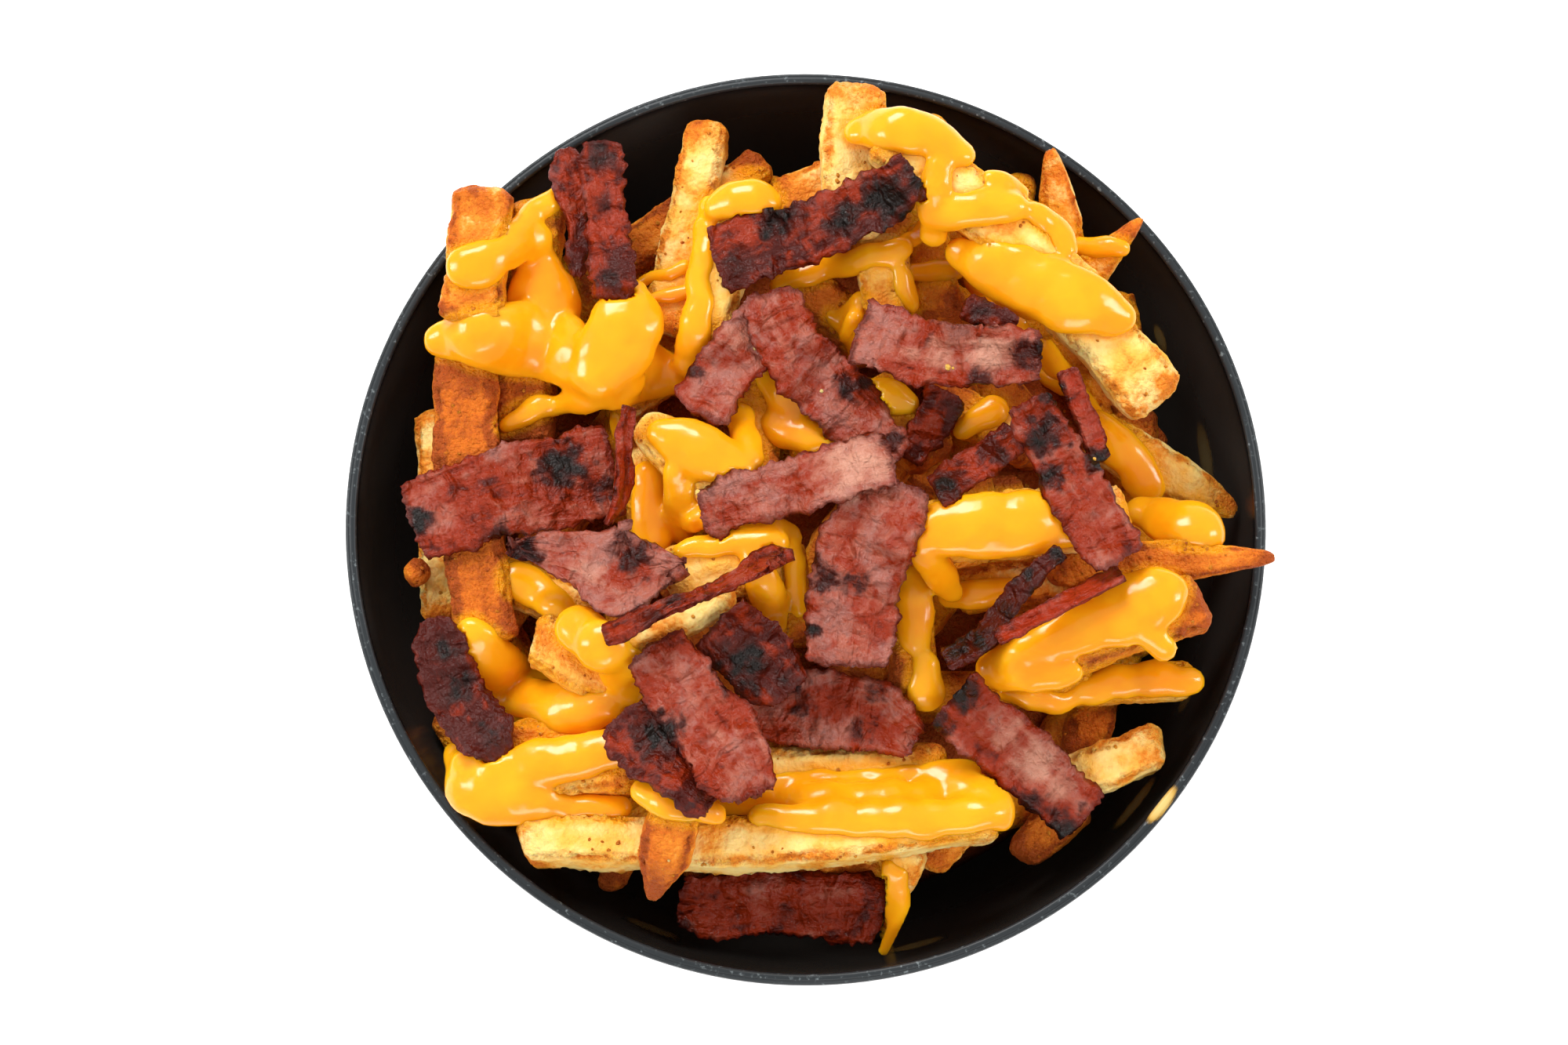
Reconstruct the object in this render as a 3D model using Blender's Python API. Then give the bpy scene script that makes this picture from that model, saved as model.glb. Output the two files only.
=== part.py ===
"""Cheese fries: a round black bowl heaped with thick coated fries, cheese sauce and strips of bacon.

Sizes are in millimetres until a mesh is finished, which turns it into metres. The origin is at the
middle of the bowl's foot, on the surface it stands on. The near side of the bowl faces -Y.
"""
import math
import random
from typing import NamedTuple

import bmesh
import bpy
import numpy as np
from mathutils import Vector
from mathutils.bvhtree import BVHTree

MM = 0.001
CLEARANCE = 0.35

# The bowl
RIM_RADIUS = 85.0
RIM_HEIGHT = 68.0
RIM_BAND = 2.1
FOOT_RADIUS = 40.0
FOOT_WIDTH = 3.5
FOOT_RECESS = 2.0
BODY_START = 3.0
INSIDE_FLOOR = 6.0
INSIDE_FLOOR_RADIUS = 36.0
BOWL_SEGMENTS = 48
OUTER_STEPS = 6
INNER_STEPS = 6

# The heap's hidden core as (radius, height), and the fries that fill it out under those that show:
# some spread over the core, and a ring of them near the bowl's wall
CORE_PROFILE = ((0.0, 54.0), (30.0, 53.0), (52.0, 50.0), (62.0, 45.0), (67.0, 38.0), (69.0, 28.0))
CORE_SEGMENTS = 24
SPREAD_FILLERS = 18
SPREAD_RADIUS = 46.0
SPREAD_HEIGHT = 59.0
SPREAD_FALL = 4.0
RING_FILLERS = 12
RING_RADIUS = 60.0
RING_HEIGHT = 50.0
FILLER_LENGTH = (36.0, 50.0)
FILLER_WIDTH = (9.0, 11.0)
FILLER_SEED = 11

# How deep a stick sinks into the pile that it rests on, and where along and across it that is measured
LEAST_SINK = 2.0
MOST_SINK_SHARE = 0.5
REST_STATION = 1.5
REST_SHARE = 0.33
REST_ROUNDS = 4

# A fry's section is a box with its corners cut off, so it has eight sides
CORNER_CUT = 0.24
END_ROUND = 1.5
END_SHRINK = 0.84
BLUNT_TIP = 0.7
TAPER_SHARE = 0.4
UNEVEN = 0.03
ROLL_SPREAD = 7.0

# How far the fused heap's faces are merged
FLAT_ANGLE = 1.0
KEPT_SHARE = 0.86

# Cheese sauce as it lies on the fries
SAUCE_STEP = 6.0
SAUCE_SINK = 0.55

# Bacon strips
BACON_THICKNESS = 1.6
BACON_STEP = 4.2
SAG_STEP = 0.12
SAG_ROUNDS = 30
BRIDGE_REACH = 8.0
FIT_ROUNDS = 12

# The height map that sauce and bacon are laid on
MAP_CELL = 0.8
MAP_HALF = 96.0
MAP_TOP = 140.0
MAP_FLOOR = 0.0
WIDEN_CELLS = 2

# Where the rows below are seen from: x and y are read in the plane of the rim, from this eye. Their
# origin is the middle of the rim's picture, which lies in front of the bowl's middle
EYE = Vector((-4.0, -83.8, 662.0))
SEEN_ORIGIN_Y = -1.8


class Fry(NamedTuple):
    """A potato stick: its ends (seen x, seen y, height wanted for its middle), its section and its form."""
    name: str
    start: tuple
    end: tuple
    wide: float
    high: float
    bow: float = 0.0
    tip_start: float = 1.0
    tip_end: float = 1.0
    roll: float = 0.0


class Strip(NamedTuple):
    """A piece of bacon: the seen line along its middle, its width there, its lean, and what it lies under."""
    name: str
    line: tuple
    widths: tuple
    lean: float = 0.0
    under: float = MAP_TOP


class Pour(NamedTuple):
    """Thick cheese sauce: the seen line that it follows, its width there and its depth."""
    line: tuple
    widths: tuple
    depth: float = 3.0


# From the lowest to the highest: each comes to rest on those before it
FRIES = (
    Fry("left_low", (-68, 24, 55), (-66, -18, 53), 9, 9),
    Fry("shelf_back", (-36, 50, 55), (-19, 61, 56), 9, 9),
    Fry("behind_post", (-7, 70, 54), (-22, 60, 54), 8, 8),
    Fry("small_back_tip", (41, 68, 62), (33, 46, 57), 8, 8, tip_start=0.8),
    Fry("charred_end", (56, 46, 58), (60, 29, 58), 10.5, 9),
    Fry("deep_upright", (54, -28, 55), (50, -45, 53), 8.5, 8),
    Fry("corner_block", (38, -61, 58), (50, -49, 60), 10, 9, tip_start=0.7),
    Fry("front_stub", (-36, -67, 60), (-32, -55, 62), 7.5, 8, tip_start=0.8),
    Fry("front_deep", (20, -63, 50), (32, -52, 52), 7, 7),
    Fry("left_edge_bit", (-67, -33, 56), (-54, -51, 54), 8.5, 8, tip_start=0.8),
    Fry("left_gap_bar", (-62, -7, 58), (-38, -16, 60), 9, 9),
    Fry("front_low_left", (-20, -40, 64), (-40, -52, 62), 9, 9),
    Fry("coated_low", (-31, 16, 64), (-27, -5, 63), 9, 9),
    Fry("shaded_post", (-11, 31, 66), (-9, 8, 65), 9, 9),
    Fry("low_right_bar", (26, -12, 66), (52, -8, 66), 9, 9),
    Fry("mid_right_low", (24, 25, 66), (44, 14, 68), 9, 9),
    Fry("shaded_end", (22, 58, 64), (25, 38, 66), 9.5, 9),
    Fry("right_low", (72, -28, 62), (42, -29, 60), 8, 8, tip_start=0.9),
    Fry("back_ledge", (-8, 61, 62), (16, 69, 64), 9, 9),
    Fry("brown_slope", (-4, 49, 63), (12, 35, 63), 10, 9),
    Fry("mid_high_low", (10, 27, 68), (25, 12, 68), 10, 9),
    Fry("middle_stub", (-3, 32, 68), (4, 10, 69), 10, 9),
    Fry("short_upright", (14, 56, 70), (15, 38, 70), 9.5, 9),
    Fry("left_rail", (-63, 37, 67), (-58, -23, 66), 12, 11, bow=1.5),
    Fry("second_post", (-50, 64, 71), (-52, 15, 63), 11, 11),
    Fry("pale_post", (-18, 78, 66), (-25, 35, 64), 11, 10, tip_start=0.75),
    Fry("knob", (-23, 31, 73), (-37, 23, 72), 9, 9, tip_start=0.9),
    Fry("left_band", (-58, -41, 67), (-32, -36, 68), 9, 9),
    Fry("left_slope", (-51, -19, 69), (-27, -33, 68), 12, 10, tip_start=0.9),
    Fry("middle_post", (-7, -2, 70), (-3, -21, 68), 12, 9),
    Fry("pale_bar", (-27, -10, 71), (-4, -5, 72), 12, 10),
    Fry("right_wedge", (52, 19, 72), (79, 3, 69), 10, 9, tip_end=0.35),
    Fry("overhang", (43, -7, 70), (86.5, -5, 74), 8, 7, tip_end=0.3),
    Fry("horn", (46, 72, 72), (50, 40, 57), 8.5, 8, tip_start=0.3),
    Fry("thorn", (63, 59, 72), (42, 37, 57), 7.5, 7, tip_start=0.2),
    Fry("top_post_under", (28, 76, 70), (8, 64, 66), 9, 9),
    Fry("finger", (66, -39, 62), (43, -47, 62), 9.5, 9, bow=-1, tip_start=0.9),
    Fry("right_sliver", (33, -32, 69), (53, -25, 66), 7, 7, tip_start=0.8),
    Fry("right_block", (74, -13, 69), (36, -25, 69), 11, 11),
    Fry("left_coated", (-62, -47, 66), (-30, -43, 68), 10, 10),
    Fry("inner_rail", (-12, -45, 71), (26, -43, 71), 9, 9),
    Fry("front_drip_end", (17, -67, 63), (18, -50, 65), 9, 9, tip_start=0.5),
    Fry("thin_bar", (-42, -23, 75), (-12, -11, 73), 7.5, 7, bow=1, tip_start=0.6),
    Fry("bumpy_post", (18, -5, 74), (20, -31, 73), 9.5, 9, tip_start=0.9),
    Fry("coated_spear", (-31, 20, 77), (-8, 4, 75), 13, 11, tip_start=0.45),
    Fry("spear_end", (-31, 45, 75), (-41, 24, 71), 10, 10, tip_start=0.4),
    Fry("coated_post", (-10, 66, 75), (-19, 34, 70), 10, 10, tip_start=0.8),
    Fry("left_post", (-60, 65, 76), (-62, 37, 74), 12, 11),
    Fry("long_bar", (16, -1, 79), (60, 3, 77), 11, 10, roll=14),
    Fry("front_rail", (-53, -57, 71), (35, -54, 73), 10, 11, bow=2, tip_start=0.95, tip_end=0.6, roll=14),
    Fry("top_post", (9.5, 85, 75), (8.5, 54, 73), 12, 11),
    Fry("big_diagonal", (13, 76, 85), (66, 23, 77), 14, 12, bow=-3, tip_start=0.8, tip_end=0.9),
    Fry("front_tooth", (-28, -68, 73), (-23, -48, 81), 9.5, 9, tip_start=0.45),
)

POURS = (
    Pour(((-60, 57), (-58, 51)), (12, 10)),
    Pour(((-50, 56), (-49, 46), (-49, 39)), (7, 7, 12)),
    Pour(((-69, 35), (-60, 37), (-50, 37)), (8, 9, 15), 4.0),
    Pour(((-42, 36), (-36, 41), (-31, 45)), (7, 9, 6)),
    Pour(((-19, 54), (-20, 45), (-20, 37)), (7, 6, 7)),
    Pour(((-5, 46), (4, 49), (10, 51), (19, 50)), (5, 6, 6, 5)),
    Pour(((12, 77), (20, 72), (29, 72)), (5, 7, 5)),
    Pour(((28, 54), (38, 54), (50, 47)), (6, 11, 9)),
    Pour(((42, 47), (52, 36), (58, 28)), (11, 10, 6)),
    Pour(((54, 20), (61, 10), (72, 2)), (8, 9, 6)),
    Pour(((-29, 17), (-20, 13), (-13, 9)), (7, 10, 8)),
    Pour(((21, 2), (34, -3), (50, -1)), (6, 8, 7)),
    Pour(((38, -24), (52, -18), (66, -12)), (6, 9, 9)),
    Pour(((20, -45), (28, -49), (36, -53)), (8, 10, 9)),
    Pour(((-66, -45), (-58, -50), (-48, -52), (-36, -50)), (9, 11, 8, 7)),
    Pour(((-60, -18), (-54, -27), (-46, -35), (-36, -37)), (9, 14, 12, 7)),
    Pour(((-54, -6), (-48, -13), (-42, -20)), (9, 12, 7)),
)

# From the lowest to the highest: each lies on the heap and on the strips before it
STRIPS = (
    Strip("under_front", ((-22, -69.5), (-4, -70.5), (12, -71)), (12, 12, 12), under=60.0),
    Strip("left_wall", ((-68.5, -16), (-65, -27), (-56.5, -41)), (8, 11, 9)),
    Strip("top_left_edge", ((-43.5, 69.5), (-43.8, 60), (-43, 45)), (6.5, 5, 3.5)),
    Strip("top_left", ((-37.8, 73), (-37.5, 58), (-35.5, 44.5)), (8, 7.5, 7)),
    Strip("dark_slip", ((26, 26), (19, 13)), (9, 7)),
    Strip("red_tongue", ((48.5, 30), (54.5, 13)), (4.5, 4.5), lean=35.0),
    Strip("dark_edge", ((24, 7), (39, 17.5)), (7, 7), lean=25.0),
    Strip("high_dark", ((30, 42), (39, 38)), (6, 5)),
    Strip("dark_ridge", ((25.5, -24), (33, -20), (40, -10), (47, -4)), (5, 5, 5, 4), lean=45.0),
    Strip("red_ridge", ((35, -20), (58, -8)), (3.5, 3.5), lean=60.0),
    Strip("left_big", ((-72.5, 1), (-57, 7), (-35.5, 11)), (15.5, 17, 19)),
    Strip("left_fold", ((-32.5, 23), (-34.5, 3)), (3, 3), lean=65.0),
    Strip("leaf", ((-53.5, -4), (-40, -9.5), (-30, -11.5), (-24, -9)), (4, 17, 18, 9)),
    Strip("long_sliver", ((-37, -19.5), (-22, -13), (-2.5, -4.5)), (3, 3.5, 3), lean=60.0),
    Strip("left_peak", ((-6, 42), (-12, 33), (-21, 23)), (12, 12, 13)),
    Strip("right_peak", ((-6, 40), (-1, 33), (6, 24), (17, 13)), (13, 13, 11, 9)),
    Strip("upper_right", ((10.5, 36), (25, 32.5), (43, 31)), (13, 13.5, 12)),
    Strip("top_dark", ((-14, 50), (3.5, 58), (20.5, 66)), (13.5, 12.5, 10.5)),
    Strip("right_slope", ((41, 24), (49, 9), (58, -5.5)), (9, 12, 11)),
    Strip("front_middle", ((-12, -34), (2, -33), (12, -34), (20, -39)), (9, 15, 14, 8)),
    Strip("dark_middle", ((-16, -17), (-8, -25), (-3, -30)), (13, 14, 10)),
    Strip("under_dark", ((-33.5, -34), (-27, -42), (-17, -50)), (11, 12, 8)),
    Strip("front_pink", ((-26.5, -23), (-19, -35), (-11, -48)), (12, 14, 11)),
    Strip("centre_down", ((17, 9), (11, -3), (8.5, -14), (7.5, -25)), (14, 18, 17, 16)),
    Strip("centre_bar", ((-19, 3), (-5, 7.5), (8, 11.5), (16, 13)), (10, 11, 12, 10)),
    Strip("front_right", ((27, -31), (38, -41), (50.5, -53)), (13, 13, 12)),
)


def clear_scene():
    """Remove whatever the scene starts with."""
    for obj in list(bpy.data.objects):
        bpy.data.objects.remove(obj, do_unlink=True)


def finish_material(name, colour, roughness):
    """A plain Principled material."""
    mat = bpy.data.materials.new(name)
    mat.use_nodes = True
    shader = mat.node_tree.nodes["Principled BSDF"]
    shader.inputs["Base Color"].default_value = (*colour, 1.0)
    shader.inputs["Roughness"].default_value = roughness
    shader.inputs["Metallic"].default_value = 0.0
    mat.diffuse_color = (*colour, 1.0)
    return mat


def make_object(name, bm, material=None):
    """Turn a mesh in millimetres into a named object in metres, and free the mesh."""
    bmesh.ops.scale(bm, vec=(MM, MM, MM), verts=bm.verts)
    mesh = bpy.data.meshes.new(name)
    bm.to_mesh(mesh)
    bm.free()
    obj = bpy.data.objects.new(name, mesh)
    bpy.context.scene.collection.objects.link(obj)
    if material:
        mesh.materials.append(material)
    return obj


def true_place(x, y, z):
    """The point at height z that lies behind the seen point x, y of the rim's plane."""
    share = (EYE.z - z) / (EYE.z - RIM_HEIGHT)
    return Vector((EYE.x + (x - EYE.x) * share, EYE.y + (y + SEEN_ORIGIN_Y - EYE.y) * share, z))


def arc_profile(centre_radius, reach, top, depth, steps):
    """Points down a quarter of an ellipse, from the bowl's rim to the start of its bottom."""
    points = []
    for i in range(steps + 1):
        turn = 0.5 * math.pi * i / steps
        points.append((centre_radius + reach * math.cos(turn), top - depth * math.sin(turn)))
    return points


def turned(profile, segments):
    """A solid of revolution round Z from a profile of (radius, height), whose ends are on the axis."""
    bm = bmesh.new()
    verts = [bm.verts.new((r, 0.0, z)) for r, z in profile]
    edges = [bm.edges.new(pair) for pair in zip(verts, verts[1:])]
    bmesh.ops.spin(bm, geom=verts + edges, cent=(0, 0, 0), axis=(0, 0, 1), angle=2 * math.pi,
                   steps=segments, use_merge=True, use_duplicate=False)
    bmesh.ops.remove_doubles(bm, verts=bm.verts, dist=0.001)
    bmesh.ops.recalc_face_normals(bm, faces=bm.faces)
    return bm


def inside_arc(gap=0.0, steps=INNER_STEPS):
    """The bowl's inside from rim to floor, drawn in by a gap."""
    radius = RIM_RADIUS - RIM_BAND - gap
    return arc_profile(INSIDE_FLOOR_RADIUS, radius - INSIDE_FLOOR_RADIUS, RIM_HEIGHT - 1.2,
                       RIM_HEIGHT - 1.2 - INSIDE_FLOOR - gap, steps)


def make_bowl(material):
    """A round bowl on a foot ring, with a flat rim band and a small rounded lip outside it."""
    outside = arc_profile(FOOT_RADIUS, RIM_RADIUS - FOOT_RADIUS, RIM_HEIGHT - 1.3,
                          RIM_HEIGHT - 1.3 - BODY_START, OUTER_STEPS)
    lip = RIM_RADIUS - 0.75
    rim = [(RIM_RADIUS - 0.1, RIM_HEIGHT - 0.6), (RIM_RADIUS - 0.45, RIM_HEIGHT - 0.2),
           (lip, RIM_HEIGHT - 0.25), (lip - 0.15, RIM_HEIGHT), (RIM_RADIUS - RIM_BAND + 0.2, RIM_HEIGHT - 0.1)]
    foot = [(0.0, FOOT_RECESS), (FOOT_RADIUS - FOOT_WIDTH - 0.5, FOOT_RECESS),
            (FOOT_RADIUS - FOOT_WIDTH, 0.0), (FOOT_RADIUS, 0.0)]
    profile = foot + outside[::-1] + rim + inside_arc() + [(0.0, INSIDE_FLOOR)]
    bowl = make_object("bowl", turned(profile, BOWL_SEGMENTS), material)
    bowl.data.shade_smooth()
    bowl.data.set_sharp_from_angle(angle=math.radians(35))
    return bowl


def make_room():
    """The space that the food may take: inside the bowl, and over its rim, a small gap away from it."""
    inside = inside_arc(CLEARANCE)
    wide = RIM_RADIUS + 20
    over_rim = RIM_HEIGHT + CLEARANCE
    profile = [(0.0, MAP_TOP), (wide, MAP_TOP), (wide, over_rim), (inside[0][0], over_rim)]
    profile += inside + [(0.0, INSIDE_FLOOR + CLEARANCE)]
    return make_object("room", turned(profile, BOWL_SEGMENTS))


def make_core():
    """The middle of the heap, from the bowl's floor to a low crown, which no one sees."""
    foot = CORE_PROFILE[-1][0]
    return make_object("core", turned([*CORE_PROFILE, (foot, 0.0), (0.0, 0.0)], CORE_SEGMENTS))


class Pile:
    """How high the sticks laid so far reach, on a square grid, so that each new one rests on them."""

    def __init__(self):
        count = int(2 * MAP_HALF / MAP_CELL) + 1
        axis = np.linspace(-MAP_HALF, MAP_HALF, count)
        radius = np.hypot(axis[:, None], axis[None, :])
        core = np.interp(radius, *zip(*CORE_PROFILE), right=INSIDE_FLOOR)
        wall = np.interp(radius, *zip(*inside_arc()[::-1]), left=INSIDE_FLOOR, right=RIM_HEIGHT)
        self.top = np.maximum(core, wall)

    def cells(self, points):
        """Grid indexes of an array of points."""
        index = np.rint((points[..., :2] + MAP_HALF) / MAP_CELL).astype(int)
        return index[..., 0], index[..., 1]

    def spots(self, fry, ends, shares):
        """Points along and across a stick's middle layer, and how thick it is at each."""
        start, end = np.array(ends[0]), np.array(ends[1])
        run = end - start
        length = np.linalg.norm(run)
        along = np.linspace(0, length, int(length / REST_STATION) + 2)
        scale = np.interp(along, *zip(*fry_stations(length, fry.tip_start, fry.tip_end, False)))
        side = np.array((run[1], -run[0], 0.0)) / np.hypot(run[0], run[1])
        bow = fry.bow * np.sin(np.pi * along / length)
        across = bow[:, None] + fry.wide * scale[:, None] * np.array(shares)[None, :]
        points = start + run * (along / length)[:, None, None] + side * across[:, :, None]
        return points, 0.5 * fry.high * scale[:, None]

    def rest(self, fry):
        """The true ends of a stick, lowered until it lies on the pile, or raised if it is too deep in it."""
        shift = 0.0
        for _ in range(REST_ROUNDS):
            ends = [true_place(x, y, z + shift) for x, y, z in (fry.start, fry.end)]
            points, half = self.spots(fry, ends, (-REST_SHARE, 0, REST_SHARE))
            touching = (self.top[self.cells(points)] - points[..., 2] + half).max() + shift
            shift = min(max(0.0, touching - MOST_SINK_SHARE * fry.high), touching - LEAST_SINK)
        return ends

    def add(self, fry, ends):
        """Let the pile grow by a stick."""
        points, half = self.spots(fry, ends, np.linspace(-0.5, 0.5, 2 * int(fry.wide / MAP_CELL)))
        np.maximum.at(self.top, self.cells(points), points[..., 2] + half)


def filler_fry(number, radius, angle, z, heading, draw):
    """One hidden stick, by the place of its middle and its heading."""
    x, y = radius * math.cos(angle), radius * math.sin(angle)
    half = 0.5 * draw.uniform(*FILLER_LENGTH)
    dx, dy, dz = half * math.cos(heading), half * math.sin(heading), half * draw.uniform(-0.12, 0.12)
    thick = draw.uniform(*FILLER_WIDTH)
    return Fry(f"filler_{number:02d}", (x - dx, y - dy, z - dz), (x + dx, y + dy, z + dz), thick, 0.9 * thick)


def filler_fries():
    """The fries under those that show: the ring along the wall, then the spread over the core."""
    draw = random.Random(FILLER_SEED)
    golden = math.pi * (3 - math.sqrt(5))
    rows = []
    for i in range(RING_FILLERS):
        angle = 2 * math.pi * i / RING_FILLERS
        heading = angle + 0.5 * math.pi + draw.uniform(-0.25, 0.25)
        z = RING_HEIGHT + draw.uniform(-2, 2)
        rows.append(filler_fry(i, RING_RADIUS, angle, z, heading, draw))
    for i in range(SPREAD_FILLERS):
        share = math.sqrt((i + 0.5) / SPREAD_FILLERS)
        heading = i * golden + 0.5 * math.pi + draw.uniform(-0.7, 0.7)
        z = SPREAD_HEIGHT - SPREAD_FALL * share ** 2 + draw.uniform(-2, 2)
        rows.append(filler_fry(RING_FILLERS + i, SPREAD_RADIUS * share, i * golden, z, heading, draw))
    return rows


def laid_fries():
    """Each stick with its true ends: the fillers lie as drawn, those that show come to rest on the pile."""
    pile = Pile()
    laid = []
    for fry in filler_fries():
        laid.append((fry, [true_place(*fry.start), true_place(*fry.end)]))
        pile.add(*laid[-1])
    for fry in FRIES:
        laid.append((fry, pile.rest(fry)))
        pile.add(*laid[-1])
    return laid


def box_section(wide, high):
    """Eight points round a box with its corners cut, as (side, up)."""
    cut = CORNER_CUT * min(wide, high)
    w, h = wide / 2, high / 2
    return [(w, -h + cut), (w, h - cut), (w - cut, h), (-w + cut, h),
            (-w, h - cut), (-w, -h + cut), (-w + cut, -h), (w - cut, -h)]


def bridge_rings(bm, rings):
    """Join equal rings of vertices with quads, close both ends and split all faces into triangles."""
    count = len(rings[0])
    for low, high in zip(rings, rings[1:]):
        for j in range(count):
            k = (j + 1) % count
            bm.faces.new((low[j], low[k], high[k], high[j]))
    bm.faces.new(rings[0][::-1])
    bm.faces.new(rings[-1])
    bmesh.ops.recalc_face_normals(bm, faces=bm.faces)
    bmesh.ops.triangulate(bm, faces=bm.faces)


def fry_stations(length, tip_start, tip_end, bowed):
    """Places along a fry and the section's scale at each: rounded ends, or a taper to a tip."""
    stations = []
    for tip, flip in ((tip_start, False), (tip_end, True)):
        taper = (TAPER_SHARE * length, 1.0) if tip < BLUNT_TIP else (END_ROUND, tip)
        near = [(0.0, tip if tip < BLUNT_TIP else tip * END_SHRINK), taper]
        stations += [(length - s, k) for s, k in near[::-1]] if flip else near
    if bowed:
        stations.insert(2, (0.5 * length, 1.0))
    return stations


def make_stick(fry, start, end):
    """One potato stick as a closed solid with few sides, slightly uneven along its length."""
    draw = random.Random(fry.name)
    along = (end - start).normalized()
    side = along.cross(Vector((0, 0, 1))).normalized()
    up = side.cross(along)
    turn = math.radians(fry.roll + draw.uniform(-ROLL_SPREAD, ROLL_SPREAD))
    side, up = side * math.cos(turn) + up * math.sin(turn), up * math.cos(turn) - side * math.sin(turn)
    length = (end - start).length
    bm = bmesh.new()
    rings = []
    for place, scale in fry_stations(length, fry.tip_start, fry.tip_end, fry.bow != 0):
        middle = start + along * place + side * fry.bow * math.sin(math.pi * place / length)
        scale *= 1 + draw.uniform(-UNEVEN, UNEVEN)
        section = box_section(fry.wide * scale, fry.high * scale)
        rings.append([bm.verts.new(middle + side * a + up * b) for a, b in section])
    bridge_rings(bm, rings)
    return make_object(fry.name, bm)


class HeightMap:
    """How high the things laid so far stand, on a square grid in millimetres."""

    def __init__(self, objects, top=MAP_TOP):
        count = int(2 * MAP_HALF / MAP_CELL) + 1
        self.axis = np.linspace(-MAP_HALF, MAP_HALF, count)
        self.heights = np.full((count, count), MAP_FLOOR)
        bm = bmesh.new()
        for obj in objects:
            bm.from_mesh(obj.data)
        bmesh.ops.scale(bm, vec=(1 / MM, 1 / MM, 1 / MM), verts=bm.verts)
        self.stamp(bm, top)
        bm.free()

    def stamp(self, bm, top=MAP_TOP):
        """Raise the map to the top of a mesh, looking down from a height."""
        tree = BVHTree.FromBMesh(bm)
        low = np.min([v.co[:2] for v in bm.verts], axis=0) - MAP_CELL
        high = np.max([v.co[:2] for v in bm.verts], axis=0) + MAP_CELL
        down = Vector((0, 0, -1))
        for i in np.flatnonzero((self.axis >= low[0]) & (self.axis <= high[0])):
            for j in np.flatnonzero((self.axis >= low[1]) & (self.axis <= high[1])):
                hit, normal, _, _ = tree.ray_cast((self.axis[i], self.axis[j], top), down)
                if hit is not None and normal.z > 0:
                    self.heights[i, j] = max(self.heights[i, j], hit.z)

    def widened(self):
        """The map with every height spread sideways, so that a thin sheet laid on it clears steep sides."""
        wide = self.heights.copy()
        cells = range(-WIDEN_CELLS, WIDEN_CELLS + 1)
        for a in cells:
            for b in cells:
                if a * a + b * b <= WIDEN_CELLS ** 2:
                    wide = np.maximum(wide, np.roll(self.heights, (a, b), axis=(0, 1)))
        return wide

    def read(self, heights, x, y):
        """The highest of the four cells round a point."""
        i = int((x + MAP_HALF) / MAP_CELL)
        j = int((y + MAP_HALF) / MAP_CELL)
        return float(heights[i:i + 2, j:j + 2].max())


def along_line(points, values, step):
    """Even places along a polyline, each with its heading and with the values between the points."""
    pts = [Vector((*p, 0)) for p in points]
    lengths = [(b - a).length for a, b in zip(pts, pts[1:])]
    total = sum(lengths)
    count = max(2, round(total / step))
    marks = np.cumsum([0, *lengths])
    places = []
    for k in range(count + 1):
        at = total * k / count
        xy = Vector((np.interp(at, marks, [p.x for p in pts]), np.interp(at, marks, [p.y for p in pts]), 0))
        places.append([xy, None, float(np.interp(at, marks, values))])
    for k, place in enumerate(places):
        run = places[min(k + 1, count)][0] - places[max(k - 1, 0)][0]
        place[1] = run.normalized()
    return places


def make_pour(number, pour, ground):
    """A flat-bottomed rope of sauce, sunk a little into the fries that it lies on."""
    places = along_line(pour.line, pour.widths, SAUCE_STEP)
    shape = [(0.5, -0.7), (0.46, 0.35), (0.2, 0.9), (-0.2, 0.9), (-0.46, 0.35), (-0.5, -0.7)]
    heights = []
    for xy, _, _ in places:
        guess = true_place(xy.x, xy.y, RIM_HEIGHT + 8)
        heights.append(ground.read(ground.heights, guess.x, guess.y))
    bm = bmesh.new()
    rings = []
    for k, (xy, heading, wide) in enumerate(places):
        near = heights[max(k - 1, 0):k + 2]
        z = sum(near) / len(near) - SAUCE_SINK
        end = 0.6 if k in (0, len(places) - 1) else 1.0
        side = Vector((heading.y, -heading.x, 0))
        middle = true_place(xy.x, xy.y, z)
        ring = [bm.verts.new(middle + side * a * wide * end + Vector((0, 0, b * pour.depth * end)))
                for a, b in shape]
        rings.append(ring)
    bridge_rings(bm, rings)
    return make_object(f"pour_{number:02d}", bm)


def apply_modifiers(obj):
    """Keep the mesh that the modifiers give, and drop them."""
    graph = bpy.context.evaluated_depsgraph_get()
    mesh = bpy.data.meshes.new_from_object(obj.evaluated_get(graph))
    obj.modifiers.clear()
    obj.data = mesh


def bodies_of(bm):
    """The vertices of each separate body in a mesh, the largest body last."""
    left = set(bm.verts)
    bodies = []
    while left:
        body, waiting = set(), [next(iter(left))]
        while waiting:
            vert = waiting.pop()
            if vert not in body:
                body.add(vert)
                waiting.extend(edge.other_vert(vert) for edge in vert.link_edges)
        left -= body
        bodies.append(body)
    return sorted(bodies, key=len)


def sort_faces(mesh):
    """Put a mesh's faces in a fixed order, because fusing gives them in another one each time."""
    faces = []
    for poly in mesh.polygons:
        corners = list(poly.vertices)
        first = corners.index(min(corners))
        faces.append(corners[first:] + corners[:first])
    points = [tuple(vert.co) for vert in mesh.vertices]
    mesh.clear_geometry()
    mesh.from_pydata(points, [], sorted(faces))


def keep_outer_body(obj):
    """Drop loose scraps and the walls of sealed hollows, so that one closed body of triangles is left."""
    bm = bmesh.new()
    bm.from_mesh(obj.data)
    scraps = [vert for body in bodies_of(bm)[:-1] for vert in body]
    bmesh.ops.delete(bm, geom=scraps, context="VERTS")
    bmesh.ops.triangulate(bm, faces=bm.faces)
    bm.to_mesh(obj.data)
    bm.free()


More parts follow.
